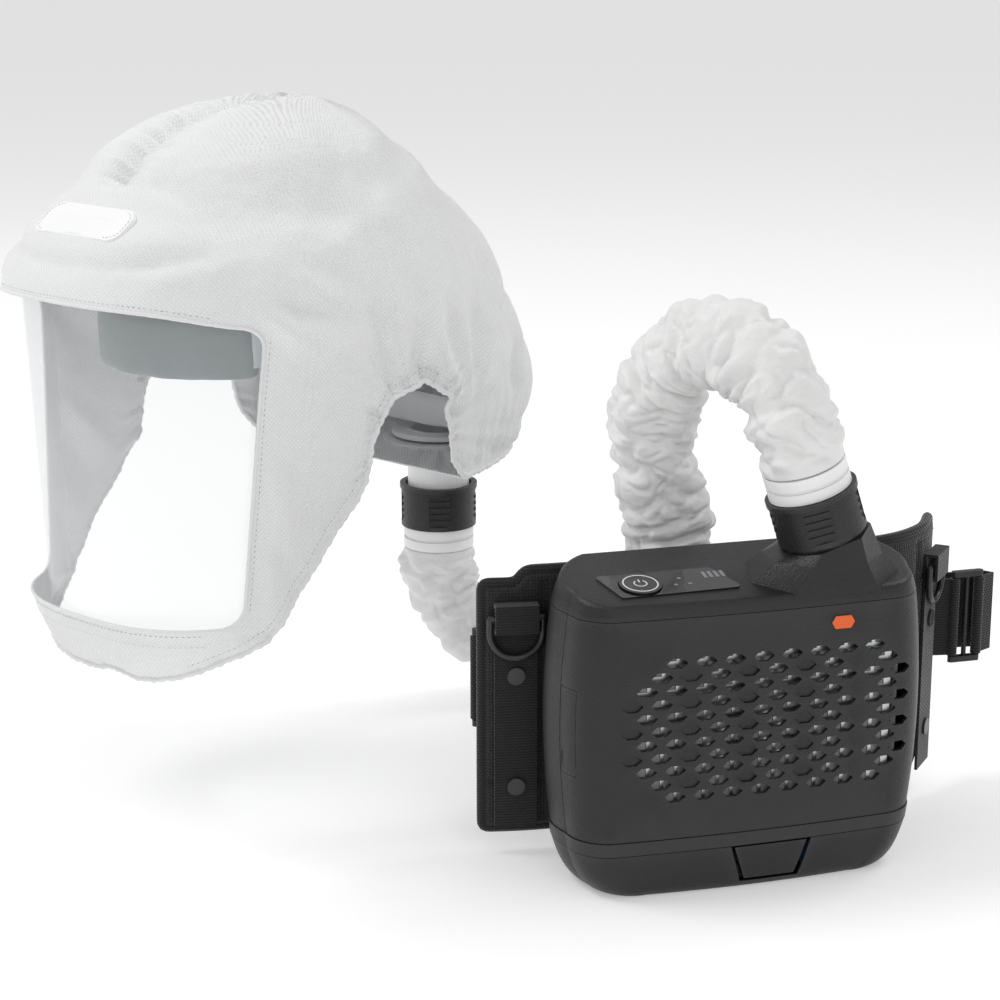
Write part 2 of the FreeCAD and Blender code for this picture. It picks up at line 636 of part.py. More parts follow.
def rim():
    """Base rim that carries the battery rails and the two battery contacts."""
    half = half_at(RIM_TOP) + 0.6
    levels = [(BATTERY_TOP + SPLIT, half - 0.8, COVER_FRONT, HOUSING_BACK),
              (RIM_TOP, half, COVER_FRONT + 0.4, HOUSING_BACK)]
    base = slab(levels, "whole")
    base = base.cut(block(-70, 70, -14, 36, BATTERY_TOP + 3, RIM_TOP + 1))
    for x in (-6, 6):
        base = base.cut(block(x - 1.3, x + 1.3, 37.5, 42.5, BATTERY_TOP - 1, RIM_TOP + 1))
    save("base_rim", at_blower(base))
    pins = [block(x - 1, x + 1, 38, 42, BATTERY_TOP - 3.5, RIM_TOP) for x in (-6, 6)]
    save("battery_pins", at_blower(Part.makeCompound(pins)))


def octagon(cx, cy, half_x, half_y, z):
    """Eight-sided ring of the faceted spout."""
    ring = [(half_x, 0.42 * half_y), (0.5 * half_x, half_y), (-0.5 * half_x, half_y),
            (-half_x, 0.42 * half_y), (-half_x, -0.42 * half_y), (-0.5 * half_x, -half_y),
            (0.5 * half_x, -half_y), (half_x, -0.42 * half_y)]
    points = [V(cx + x, cy + y, z) for x, y in ring]
    return Part.makePolygon(points + points[:1])


def on_top(shape):
    """Lay a shape drawn on the XY plane onto the sloping top of the blower."""
    shape = shape.copy()
    shape.rotate(V(0, 0, 0), V(1, 0, 0), TOP_TILT)
    shape.translate(V(0, 0, TOP_MID))
    return shape


def top_housing():
    """Top moulding: sloping flat for the panel, rounded shoulders, and the faceted outlet spout."""
    def form(inset):
        h = half_at(COVER_TOP) - inset
        front, back = COVER_FRONT - inset, HOUSING_BACK - inset
        levels = [(COVER_TOP, h, front, back), (COVER_TOP + 10, h - 3, front - 1.5, back - 0.5),
                  (COVER_TOP + 24, h - 9, front - 5, back - 2)]
        return slab(levels, "whole").cut(on_top(block(-200, 200, -200, 200, -inset, 100)))
    outer = form(0)

    def on_slope(edge):
        return all(abs((p.Point.z - TOP_MID) - p.Point.y * math.tan(math.radians(TOP_TILT))) < 0.01
                   for p in edge.Vertexes)
    outer = rounded(outer, 3.5, on_slope)
    foot = octagon(44, 6, 49, 30, COVER_TOP + 5)
    waist = octagon(46, 4, 31, 26, COVER_TOP + 21)
    mouth = on_spout(octagon(0, 0, 24, 24, 0), -1)
    spout = Part.makeLoft([foot, waist, mouth], True, True)
    spout = spout.fuse(on_spout(rod(V(0, 0, -8), V(0, 0, 1), 23.6, 8), 0))
    spigot = on_spout(rod(V(0, 0, -6), V(0, 0, 1), TUBE_R, SPIGOT_LEN + 6), 0)
    bore = on_spout(rod(V(0, 0, -24), V(0, 0, 1), TUBE_R - 2.5, 60), 0)
    cap = outer.fuse(spout).cut(form(WALL)).fuse(spigot).cut(bore)
    cap = cap.cut(on_top(rod(V(BUTTON_X, BUTTON_Y, -8), V(0, 0, 1), BUTTON_R + 0.3, 20)))
    save("top_housing", at_blower(cap))
    ring = collar(COLLAR_H)
    ring.rotate(V(0, 0, 0), V(0, 0, 1), 25)
    save("lower_collar", at_blower(on_spout(ring, 0.5)))


def control_panel():
    """Glossy overlay on the sloping top, the power button with its ring, and the indicator lamps."""
    plan = [(-73, -13), (-80.5, 14), (-15, 14), (-5, -11)]
    overlay = rounded(prism_z(plan, 0.02, 0.8), 2.5, upright)
    overlay = overlay.cut(rod(V(BUTTON_X, BUTTON_Y, -1), V(0, 0, 1), BUTTON_R + 0.5, 5))
    lamps = []
    for k in range(4):
        lamps.append(block(-22 + 3.4 * k, -20 + 3.4 * k, 2, 9, 0.3, 1.0))
    for x, y in ((-40, -3), (-32, -3), (-36, 4)):
        lamps.append(rod(V(x, y, 0.3), V(0, 0, 1), 1.1, 0.7))
    lamps = Part.makeCompound(lamps)
    save("panel_overlay", at_blower(on_top(overlay.cut(lamps))))
    save("indicator_lamps", at_blower(on_top(lamps)))
    button = rod(V(BUTTON_X, BUTTON_Y, -2.2), V(0, 0, 1), BUTTON_R, 4)
    button = button.cut(tube(V(BUTTON_X, BUTTON_Y, 1.4), V(0, 0, 1), 9.4, 8.6, 1))
    save("power_button", at_blower(on_top(button)))


def fan():
    """Volute with its outlet duct, impeller on its shaft, motor and circuit board."""
    at = V(FAN_X, 0, FAN_Z)
    back = V(0, 1, 0)
    y0, y1 = 5.2, 36
    scroll = rod(at + V(0, y0, 0), back, 50, y1 - y0)
    duct = block(26, 64, y0 + 4.8, y1, FAN_Z, COVER_TOP - WALL - 1.2)
    core = rod(at + V(0, y0 + 2, 0), back, 48, y1 - y0 - 4)
    duct_air = block(28, 62, y0 + 6.8, y1 - 2, FAN_Z, COVER_TOP)
    volute = scroll.fuse(duct).cut(core).cut(duct_air)
    volute = volute.cut(rod(at, back, 27, 12)).cut(rod(at + V(0, y1 - 4, 0), back, 3.4, 8))
    save("fan_volute", at_blower(volute))
    disc = rod(at + V(0, 28, 0), back, 42, 2)
    shaft = rod(at + V(0, 24, 0), back, 3, 15)
    hub = rod(at + V(0, 18, 0), back, 9, 11)
    blades = []
    for k in range(18):
        blade = block(26, 41.5, -0.7, 0.7, 0, 17)
        blade.rotate(V(26, 0, 0), V(0, 0, 1), 35)
        blade.rotate(V(0, 0, 0), V(0, 0, 1), 20 * k)
        blade.rotate(V(0, 0, 0), V(1, 0, 0), -90)
        blade.translate(at + V(0, 11.5, 0))
        blades.append(blade)
    wheel = disc.fuse(hub).fuse(blades).common(rod(at + V(0, 8, 0), back, 43, 32))
    save("impeller", at_blower(wheel.fuse(shaft)))
    motor = rod(at + V(0, y1 + 0.2, 0), back, 17, 8).cut(rod(at + V(0, y1, 0), back, 3.06, 4))
    save("fan_motor", at_blower(motor))
    board = block(-92, -46, 30, 31.6, 60, 140)
    chips = [block(-86, -70, 26, 30, 110, 126), block(-64, -54, 27, 30, 80, 90), block(-84, -76, 24, 30, 70, 96)]
    save("circuit_board", at_blower(board.fuse(chips)))


def battery():
    """Battery pack under the rim: case, six cells, terminal sockets and the press latch at the front."""
    def form(inset):
        h = half_at(RIM_TOP) - 0.4
        return slab([(0.0 + inset, h - 17 - inset, COVER_FRONT - 6 - inset, HOUSING_BACK - 6 - inset),
                     (3.5, h - 11 - inset, COVER_FRONT - 3 - inset, HOUSING_BACK - 3 - inset),
                     (12, h - 5 - inset, COVER_FRONT - 1 - inset, HOUSING_BACK - 1 - inset),
                     (BATTERY_TOP - inset, h - inset, COVER_FRONT - inset, HOUSING_BACK - inset)], "whole")
    case = form(0).cut(form(2.0))
    recess = [(LATCH_CX - 24, BATTERY_TOP + 2), (LATCH_CX + 24, BATTERY_TOP + 2), (LATCH_CX + 17, 4),
              (LATCH_CX - 17, 4)]
    pocket = prism_y(recess, -40, -15)
    wall = prism_y(recess, -17, -15).common(form(0))
    case = case.cut(pocket).fuse(wall)
    for x in (-6, 6):
        case = case.cut(block(x - 1.3, x + 1.3, 37.5, 60, BATTERY_TOP - 5, BATTERY_TOP + 1))
    save("battery_case", at_blower(case))
    key = [(LATCH_CX - 21, BATTERY_TOP - 1), (LATCH_CX + 21, BATTERY_TOP - 1), (LATCH_CX + 14.5, 5.5),
           (LATCH_CX - 14.5, 5.5)]
    latch = prism_y(key, -40, -19.4).common(form(0.6))
    save("battery_latch", at_blower(latch))
    cells = []
    for x in (-67, 0.5):
        for y in (-5, 13.6, 32.2):
            cells.append(rod(V(x, y, 13.2), V(1, 0, 0), 9.1, 65))
    save("battery_cells", at_blower(Part.makeCompound(cells)))


# ================= belt =================

def pad_line(offset):
    """Plan line of the belt pad, this far in front of its middle."""
    middle = [(-129, 62), (-104, 57.5), (-70, 55.5), (0, 55), (70, 55.5), (112, 60), (140, 76), (157, 100)]
    curve = Part.BSplineCurve()
    curve.interpolate([V(x, y, 0) for x, y in middle])
    points = []
    for k in range(41):
        u = curve.FirstParameter + (curve.LastParameter - curve.FirstParameter) * k / 40
        p = curve.value(u)
        t = curve.tangent(u)[0]
        points.append(V(p.x + offset * t.y, p.y - offset * t.x, 0))
    return points


def pad_curve(offset):
    curve = Part.BSplineCurve()
    curve.interpolate(pad_line(offset)[::5])
    return curve


def pad_slice(front, back, z0, z1):
    """A curved upright layer that follows the belt pad between two offsets."""
    a = pad_curve(front)
    b = pad_curve(back)
    ends = [(a.StartPoint, b.StartPoint), (a.EndPoint, b.EndPoint)]
    edges = [a.toShape(), b.toShape()] + [Part.LineSegment(p, q).toShape() for p, q in ends]
    face = Part.Face(Part.Wire(Part.__sortEdges__(edges)))
    layer = face.extrude(V(0, 0, z1 - z0))
    layer.translate(V(0, 0, z0))
    return layer


def wing_place(along):
    """Point on the pad line at this fraction, and the heading of its front face in degrees."""
    curve = pad_curve(0)
    u = curve.FirstParameter + (curve.LastParameter - curve.FirstParameter) * along
    p = curve.value(u)
    t = curve.tangent(u)[0]
    return p, math.degrees(math.atan2(t.y, t.x))


def on_wing(shape, along, forward):
    """Put a shape drawn facing -Y at the origin onto the front of the pad at this fraction."""
    p, heading = wing_place(along)
    shape = shape.copy()
    shape.translate(V(0, -forward, 0))
    shape.rotate(V(0, 0, 0), V(0, 0, 1), heading)
    shape.translate(p)
    return shape


def belt_pad():
    """Padded belt section behind the blower, with its tapered right end."""
    pad = pad_slice(PAD_T / 2, -PAD_T / 2, BELT_BOTTOM, BELT_TOP)
    corner = prism_y([(128, 10), (190, 10), (190, 50), (158, 44), (136, 16)], -50, 200)
    notch = block(-140, -108, 0, 120, BELT_TOP - 7, BELT_TOP + 5)
    pad = pad.cut(corner).cut(notch)
    save("belt_pad", at_blower(pad))
    bracket = block(-90, 120, HOUSING_BACK + 0.05, HOUSING_BACK + 3, 70, 160)
    bracket = rounded(bracket, 14, lambda e: abs(e.Vertexes[0].Point.y - e.Vertexes[-1].Point.y) > 1)
    bracket = bracket.cut(pad_slice(PAD_T / 2 + 0.05, -20, 0, 200))
    for x in SCREW_X:
        bracket = bracket.cut(rod(V(x, HOUSING_BACK - 8, SCREW_Z[1]), V(0, 1, 0), 2.1, 20))
    save("belt_bracket", at_blower(bracket))


def d_rings():
    """On each wing: an upright webbing strip with two snaps, and a D-ring hung from its top loop."""
    studs = []
    strips = []
    for name, along, top in (("left", LEFT_RING, 149), ("right", RIGHT_RING, 152)):
        lift = PAD_T / 2 + 0.1
        strip = block(-12, 12, -WEB_T, 0, BELT_BOTTOM + 2, top)
        strip = strip.fuse(block(-12, 12, -8.4, -8.4 + WEB_T, top - 16, top))
        strip = strip.fuse(block(-12, 12, -8.4, 0, top - WEB_T, top))
        strip = strip.fuse(block(-12, 12, -8.4, 0, top - 16, top - 16 + WEB_T))
        strips.append(on_wing(strip, along, lift))
        bar_z = top - 8
        ring = rod(V(-RING_HALF, 0, bar_z), V(1, 0, 0), 2, 2 * RING_HALF)
        bow = Part.makeTorus(RING_HALF, 2, V(0, 0, bar_z - 8), V(0, 1, 0))
        ring = ring.fuse(bow.common(block(-30, 30, -5, 5, bar_z - 40, bar_z - 8)))
        for side in (-1, 1):
            ring = ring.fuse(rod(V(side * RING_HALF, 0, bar_z - 8), V(0, 0, 1), 2, 8))
            ring = ring.fuse(Part.makeSphere(2, V(side * RING_HALF, 0, bar_z)))
        ring.translate(V(0, RING_Y, 0))
        save("d_ring_" + name, at_blower(on_wing(ring, along, lift)))
        for z in (BELT_BOTTOM + 26, top - 42):
            stud = rod(V(0, -WEB_T, z), V(0, -1, 0), 5, 1.6)
            studs.append(on_wing(stud, along, lift))
    save("snap_studs", at_blower(Part.makeCompound(studs)))
    save("ring_straps", at_blower(Part.makeCompound(strips)))


def web_run(points, thick, z0, z1):
    """Upright webbing that follows plan points, with rounded turns."""
    run = None
    for (xa, ya), (xb, yb) in zip(points, points[1:]):
        length = math.hypot(xb - xa, yb - ya)
        piece = block(0, length, -thick / 2, thick / 2, z0, z1)
        piece.rotate(V(0, 0, 0), V(0, 0, 1), math.degrees(math.atan2(yb - ya, xb - xa)))
        piece.translate(V(xa, ya, 0))
        run = piece if run is None else run.fuse(piece)
        if (xb, yb) != points[-1]:
            run = run.fuse(rod(V(xb, yb, z0), V(0, 0, 1), thick / 2, z1 - z0))
    return run


def web_loop(at, thick, z0, z1):
    """Sewn loop of webbing round an upright slider bar."""
    return tube(V(at[0], at[1], z0), V(0, 0, 1), BAR_R + BAR_FIT + thick, BAR_R + BAR_FIT, z1 - z0)


def slider(first, last):
    """Three-bar slider: two end plates joined by upright bars, between these plan points."""
    z0, z1 = BAND_MID - WAIST_WEB / 2 - 1, BAND_MID + WAIST_WEB / 2 + 1
    middle = ((first[0] + last[0]) / 2, (first[1] + last[1]) / 2)
    body = None
    for x, y in (first, middle, last):
        bar = rod(V(x, y, z0 - 3), V(0, 0, 1), BAR_R, z1 - z0 + 6)
        body = bar if body is None else body.fuse(bar)
    for z in (z0 - 3.5, z1):
        body = body.fuse(web_run([first, last], 4.4, z, z + 3.5))
        body = body.fuse(rod(V(first[0], first[1], z), V(0, 0, 1), 2.2, 3.5))
        body = body.fuse(rod(V(last[0], last[1], z), V(0, 0, 1), 2.2, 3.5))
    return body


def waist_straps():
    """Waist webbing: sliders at the pad's ends, two folded straps and the two halves of the buckle."""
    z0, z1 = BAND_MID - WAIST_WEB / 2, BAND_MID + WAIST_WEB / 2
    ends = (("right", SLIDER_RIGHT, [(158, 101.2), (SLIDER_RIGHT[0][0] - 2, 98.5)], RIGHT_RUN),
            ("left", SLIDER_LEFT, [(-96, 61.4), (-104, 66.5), (SLIDER_LEFT[0][0] + 2, 70)], LEFT_RUN))
    sliders = []
    tabs = []
    for side, (first, last), tab_run, run in ends:
        sliders.append(slider(first, last))
        tab = web_run(tab_run, WEB_T, z0, z1).fuse(web_loop(first, WEB_T, z0, z1))
        tab = tab.cut(rod(V(first[0], first[1], z0 - 1), V(0, 0, 1), BAR_R + BAR_FIT, z1 - z0 + 2))
        tab = tab.cut(pad_slice(PAD_T / 2, -PAD_T / 2, BELT_BOTTOM, BELT_TOP))
        tabs.append(tab)
        strap = web_run(run, WEB_T, z0, z1).fuse(web_loop(last, WEB_T, z0, z1))
        strap = strap.cut(rod(V(last[0], last[1], z0 - 1), V(0, 0, 1), BAR_R + BAR_FIT, z1 - z0 + 2))
        save("waist_strap_" + side, at_blower(strap))
    save("sliders", at_blower(Part.makeCompound(sliders)))
    save("slider_tabs", at_blower(Part.makeCompound(tabs)))
    x, y = RIGHT_RUN[-1]
    female = rounded(block(x - 34, x, y - 5, y + 5, z0 - 5, z1 + 5), 3, lambda e: not upright(e))
    female = female.cut(block(x - 40, x - 8, y - 3.2, y + 3.2, z0, z1))
    female = female.cut(block(x - 24, x - 12, y - 6, y + 6, z0 - 6, z0 + 5))
    female = female.cut(block(x - 24, x - 12, y - 6, y + 6, z1 - 5, z1 + 6))
    save("buckle_socket", at_blower(female))
    x, y = LEFT_RUN[-1]
    male = block(x, x + 8, y - 4, y + 4, z0 - 3, z1 + 3)
    male = male.fuse(block(x + 8, x + 26, y - 2.5, y + 2.5, BAND_MID - 4, BAND_MID + 4))
    for z in (z0 + 2, z1 - 7):
        male = male.fuse(block(x + 8, x + 28, y - 2.5, y + 2.5, z, z + 5))
    save("buckle_plug", at_blower(male))


def screws():
    """Pan-head screws through the rear housing; the upper pair also holds the belt bracket."""
    group = []
    for x in SCREW_X:
        for z in SCREW_Z:
            seat = HOUSING_BACK + (3.05 if z == SCREW_Z[1] else 0.05)
            shank = rod(V(x, HOUSING_BACK - 7.5, z), V(0, 1, 0), 2.05, seat - HOUSING_BACK + 7.6)
            group.append(shank.fuse(rod(V(x, seat, z), V(0, 1, 0), 3.8, 0.8)))
    save("housing_screws", at_blower(Part.makeCompound(group)))


def main():
    os.makedirs("parts", exist_ok=True)
    hood_panels()
    hem_elastic()
    visor()
    label_patch()
    air_duct()
    harness()
    hood_connector()
    hose()
    hose_cuffs()
    filter_cover()
    filter_pack()
    housing()
    rim()
    top_housing()
    control_panel()
    fan()
    battery()
    belt_pad()
    d_rings()
    waist_straps()
    screws()


main()
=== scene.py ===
"""Looks of a powered air respirator: fabric hood, visor, sleeved hose, blower and padded belt.

Everything is in metres in the row frame. The blower, belt and the lower hose end are laid out in the
blower's own frame (front towards -Y, underside at z = 0), as in the CAD, by place().
"""
import json
import math

import bmesh
import bpy
import numpy as np
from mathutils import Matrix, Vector, noise
from mathutils.bvhtree import BVHTree


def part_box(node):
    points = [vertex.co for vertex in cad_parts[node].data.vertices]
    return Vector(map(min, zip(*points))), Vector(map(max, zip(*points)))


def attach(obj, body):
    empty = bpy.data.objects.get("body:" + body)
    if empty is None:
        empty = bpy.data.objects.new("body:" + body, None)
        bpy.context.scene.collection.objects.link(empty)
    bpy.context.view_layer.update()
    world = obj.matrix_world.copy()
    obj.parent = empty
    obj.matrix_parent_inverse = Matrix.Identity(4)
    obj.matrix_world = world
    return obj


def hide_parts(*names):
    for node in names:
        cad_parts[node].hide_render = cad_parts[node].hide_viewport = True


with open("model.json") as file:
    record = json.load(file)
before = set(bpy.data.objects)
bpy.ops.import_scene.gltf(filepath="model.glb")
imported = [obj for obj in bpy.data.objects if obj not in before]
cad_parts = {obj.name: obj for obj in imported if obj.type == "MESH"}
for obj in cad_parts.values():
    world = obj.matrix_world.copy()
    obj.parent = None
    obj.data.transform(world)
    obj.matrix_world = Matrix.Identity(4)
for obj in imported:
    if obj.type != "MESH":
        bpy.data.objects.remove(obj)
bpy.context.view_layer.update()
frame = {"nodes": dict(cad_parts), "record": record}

MM = 0.001
BLOWER_AT = np.array([0.315, 0.063, -0.283])
BLOWER_TURN = math.radians(58)
FLOOR_Z = -0.283
rng = np.random.default_rng(7)


def place(points):
    """Points from the blower's own frame, in millimetres, to the row frame in metres."""
    p = np.atleast_2d(np.asarray(points, float)) * MM
    c, s = math.cos(BLOWER_TURN), math.sin(BLOWER_TURN)
    turned = np.stack([p[:, 0] * c - p[:, 1] * s, p[:, 0] * s + p[:, 1] * c, p[:, 2]], axis=1)
    return turned + BLOWER_AT


# ================= materials =================

EMBOSS = 0.0018              # pitch of the hood fabric's embossed grid
UNIT_WAVE_PITCH = 0.314159   # pitch of a wave texture at scale 1


def shade_of(colour, factor):
    """The same colour, lighter or darker."""
    return tuple(c * factor for c in colour)


class Nodes:
    """A short way to write a node material round one Principled shader."""

    def __init__(self, name, colour, rough, **sockets):
        self.mat = bpy.data.materials.new(name)
        self.mat.use_nodes = True
        self.tree = self.mat.node_tree
        self.shader = self.tree.nodes["Principled BSDF"]
        self.shader.inputs["Base Color"].default_value = (*colour, 1)
        self.shader.inputs["Roughness"].default_value = rough
        for socket, value in sockets.items():
            self.shader.inputs[socket.replace("_", " ")].default_value = value

    def node(self, kind, inputs, **settings):
        """New node; each input takes a value or another node's output."""
        made = self.tree.nodes.new(kind)
        for key, value in settings.items():
            setattr(made, key, value)
        for socket, value in inputs.items():
            if isinstance(value, bpy.types.NodeSocket):
                self.tree.links.new(value, made.inputs[socket])
            else:
                made.inputs[socket].default_value = value
        return made

    def place_from(self, source, turn=(0, 0, 0)):
        """Texture coordinates in metres: Object or UV, turned."""
        found = self.node("ShaderNodeTexCoord", {}).outputs[source]
        return self.node("ShaderNodeMapping", {"Rotation": turn, "Vector": found}).outputs["Vector"]

    def noise(self, coords, scale, detail=2.0, rough=0.5):
        inputs = {"Scale": scale, "Detail": detail, "Roughness": rough, "Vector": coords}
        return self.node("ShaderNodeTexNoise", inputs).outputs["Fac"]

    def wave(self, coords, pitch, direction):
        inputs = {"Scale": UNIT_WAVE_PITCH / pitch, "Vector": coords}
        return self.node("ShaderNodeTexWave", inputs, bands_direction=direction).outputs["Fac"]

    def math(self, kind, a, b):
        return self.node("ShaderNodeMath", {0: a, 1: b}, operation=kind).outputs[0]

    def ramp(self, value, low, high, at=(0.0, 1.0)):
        inputs = {"Value": value, "From Min": at[0], "From Max": at[1], "To Min": low, "To Max": high}
        return self.node("ShaderNodeMapRange", inputs).outputs[0]

    def colours(self, fac, first, second):
        """Base colour from first to second as fac goes from 0 to 1."""
        mix = self.node("ShaderNodeMix", {0: fac}, data_type="RGBA")
        mix.inputs[6].default_value = (*first, 1)
        mix.inputs[7].default_value = (*second, 1)
        self.tree.links.new(mix.outputs[2], self.shader.inputs["Base Color"])

    def rough_from(self, fac, low, high):
        self.tree.links.new(self.ramp(fac, low, high), self.shader.inputs["Roughness"])

    def bump(self, height, distance, strength, under=None):
        """Relief of a height, over the relief under it."""
        inputs = {"Height": height, "Distance": distance, "Strength": strength}
        if under is not None:
            inputs["Normal"] = under
        made = self.node("ShaderNodeBump", inputs)
        self.tree.links.new(made.outputs["Normal"], self.shader.inputs["Normal"])
        return made.outputs["Normal"]


def nonwoven(name, colour):
    """White nonwoven with a fine embossed diamond grid; the grid runs on the sheet's own UV metres. Its
    colour carries painted shade: darker in the hollows between the raised dots.
    """
    m = Nodes(name, colour, 0.72, Sheen_Weight=0.25, Sheen_Roughness=0.5, Specular_IOR_Level=0.3)
    diagonal = m.place_from("UV", (0, 0, math.radians(45)))
    across = m.wave(diagonal, EMBOSS, "X")
    along = m.wave(diagonal, EMBOSS, "Y")
    dots = m.math("MULTIPLY", across, along)
    fibres = m.noise(m.place_from("UV"), 900, 3)
    base = m.bump(fibres, 0.00008, 0.5)
    m.bump(dots, 0.00034, 0.9, base)
    # painted shade: the hollows of the embossed grid are coloured darker than its raised dots
    painted_dip_shade = m.ramp(dots, 0.0, 1.0, (0.0, 0.5))
    m.colours(painted_dip_shade, shade_of(colour, 0.88), colour)
    return m.mat


def satin(name, colour):
    """Thin crinkled film-faced fabric of the hose sleeve."""
    m = Nodes(name, colour, 0.42, Sheen_Weight=0.15, Specular_IOR_Level=0.45)
    place_on = m.place_from("Object")
    crinkle = m.noise(place_on, 260, 4, 0.6)
    fine = m.noise(place_on, 1500, 2)
    first = m.bump(fine, 0.00006, 0.4)
    m.bump(crinkle, 0.0011, 0.7, first)
    m.rough_from(crinkle, 0.36, 0.52)
    return m.mat


def moulded(name, colour, rough, grain=0.00012, scale=1700, **sockets):
    """Moulded plastic with a fine spark-eroded grain, and a painted highlight that lightens its convex
    edges.
    """
    m = Nodes(name, colour, rough, **sockets)
    place_on = m.place_from("Object")
    grains = m.noise(place_on, scale, 2, 0.6)
    m.bump(grains, grain, 0.7)
    patches = m.noise(place_on, 22, 3)
    m.rough_from(patches, rough - 0.05, rough + 0.06)
    # painted highlight: where the surface is convex (high pointiness) the colour turns lighter, standing in
    # for the sheen along its edges
    edge = m.node("ShaderNodeNewGeometry", {}).outputs["Pointiness"]
    edge_highlight_colour = tuple(min(0.9, c * 1.9 + 0.004) for c in colour)
    m.colours(m.ramp(edge, 0.0, 1.0, (0.5, 0.62)), colour, edge_highlight_colour)
    return m.mat


def webbing(name, colour, pitch=0.0016):
    """Woven webbing: ribs across and a fine twill, from the object's own place."""
    m = Nodes(name, colour, 0.75, Sheen_Weight=0.35, Sheen_Roughness=0.4, Specular_IOR_Level=0.3)
    place_on = m.place_from("Object")
    ribs = m.wave(place_on, pitch, "Z")
    twill = m.wave(place_on, pitch * 0.8, "DIAGONAL")
    both = m.math("ADD", ribs, m.math("MULTIPLY", twill, 0.7))
    m.bump(both, 0.0003, 0.8)
    m.colours(m.ramp(both, 0, 1, (0.2, 1.6)), shade_of(colour, 0.45), shade_of(colour, 1.9))
    return m.mat


def plain(name, colour, rough, **sockets):
    """Smooth material with a very slight unevenness in its gloss."""
    m = Nodes(name, colour, rough, **sockets)
    patches = m.noise(m.place_from("Object"), 60, 3)
    m.rough_from(patches, max(0.02, rough - 0.04), rough + 0.05)
    return m.mat


def foam(name, colour):
    """Soft foam under a thin brushed cover, mottled."""
    m = Nodes(name, colour, 0.78, Sheen_Weight=0.3, Sheen_Roughness=0.5)
    place_on = m.place_from("Object")
    cells = m.noise(place_on, 900, 3, 0.7)
    patches = m.noise(place_on, 70, 3)
    m.bump(cells, 0.0003, 0.6)
    m.colours(patches, shade_of(colour, 0.8), shade_of(colour, 1.2))
    return m.mat


def mesh_cloth(name, colour):
    """Black spacer mesh of the belt: round cells in staggered rows over a dark ground."""
    m = Nodes(name, colour, 0.7, Sheen_Weight=0.3, Sheen_Roughness=0.4, Specular_IOR_Level=0.3)
    inputs = {"Scale": 560, "Randomness": 0.25, "Vector": m.place_from("UV")}
    cells = m.node("ShaderNodeTexVoronoi", inputs, feature="F1")
    depth = m.ramp(cells.outputs["Distance"], 1.0, 0.0, (0.1, 0.55))
    m.bump(depth, 0.0004, 0.9)
    m.colours(depth, shade_of(colour, 2.4), shade_of(colour, 0.5))
    return m.mat


WHITE = (0.89, 0.893, 0.9)
MATS = {
    "hood_fabric": nonwoven("hood_nonwoven", WHITE),
    "hose_sleeve": satin("hose_sleeve_satin", (0.79, 0.79, 0.785)),
    "elastic": webbing("elastic_white", (0.4, 0.4, 0.4)),
    "air_duct_film": plain("duct_film", (0.75, 0.76, 0.77), 0.5),
    "harness_plastic": moulded("harness_grey", (0.42, 0.46, 0.46), 0.45, 0.00004),
    "brow_foam": foam("brow_foam", (0.17, 0.21, 0.21)),
    "white_plastic": moulded("white_plastic", (0.82, 0.82, 0.82), 0.38, 0.00003),
    "seal_rubber": plain("seal_rubber", (0.02, 0.02, 0.02), 0.7),
    "black_plastic": moulded("black_grain", (0.012, 0.012, 0.013), 0.36, 0.0006, 900,
                             Specular_IOR_Level=0.42),
    "gloss_black": plain("gloss_black", (0.008, 0.008, 0.009), 0.12, Coat_Weight=0.6),
    "lamp": plain("lamp_window", (0.22, 0.24, 0.25), 0.3),
    "orange_badge": plain("orange_badge", (0.8, 0.12, 0.015), 0.35),
    "inner_plastic": moulded("inner_grey", (0.2, 0.2, 0.21), 0.5),
    "filter_paper": plain("filter_paper", (0.4, 0.4, 0.39), 0.85),
    "steel": plain("steel", (0.55, 0.56, 0.57), 0.32, Metallic=1.0),
    "contact_metal": plain("contact_gold", (0.8, 0.6, 0.25), 0.25, Metallic=1.0),
    "cell_wrap": plain("cell_wrap", (0.03, 0.16, 0.35), 0.3),
    "board": plain("board_green", (0.01, 0.12, 0.05), 0.4),
    "belt_fabric": mesh_cloth("belt_mesh", (0.010, 0.010, 0.011)),
    "webbing": webbing("black_webbing", (0.014, 0.014, 0.015)),
    "ring_plastic": moulded("ring_black", (0.012, 0.012, 0.012), 0.28, 0.00003),
    "visor_film": Nodes("visor_clear", (0.76, 0.78, 0.80), 0.05, Coat_Weight=0.8, Alpha=0.15).mat,
    "print_white": plain("print_white", (0.8, 0.8, 0.8), 0.4),
    "label_satin": plain("label_satin", (0.9, 0.9, 0.91), 0.35),
}


def paint(obj, material):
    obj.data.materials.clear()
    obj.data.materials.append(MATS[material])


def settle(obj, slot, node=None, body="root"):
    """Shade a piece in its slot's material, let it ride on its body and stand for its CAD node, if any."""
    paint(obj, slot)
    obj.data.polygons.foreach_set("use_smooth", [True] * len(obj.data.polygons))
    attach(obj, body)
    if node:
        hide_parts(node)


def dress_cad():
    """Every CAD node takes its slot's material."""
    slots = {s["node"]: s["material_slot"] for s in frame["record"]["subparts"]}
    for node, obj in frame["nodes"].items():
        for holder in obj.material_slots:
            holder.material = MATS[slots[node]]


# ================= mesh helpers =================

def mesh_object(name, verts, faces, uvs=None):
    """New mesh object; uvs is one pair per vertex."""
    mesh = bpy.data.meshes.new(name)
    mesh.from_pydata([tuple(v) for v in verts], [], [tuple(int(i) for i in f) for f in faces])
    if uvs is not None:
        layer = mesh.uv_layers.new(name="sheet")
        corner = np.empty(len(mesh.loops), dtype=np.int64)
        mesh.loops.foreach_get("vertex_index", corner)
        layer.data.foreach_set("uv", np.asarray(uvs, dtype=float)[corner].ravel())
    obj = bpy.data.objects.new(name, mesh)
    bpy.context.scene.collection.objects.link(obj)
    return obj


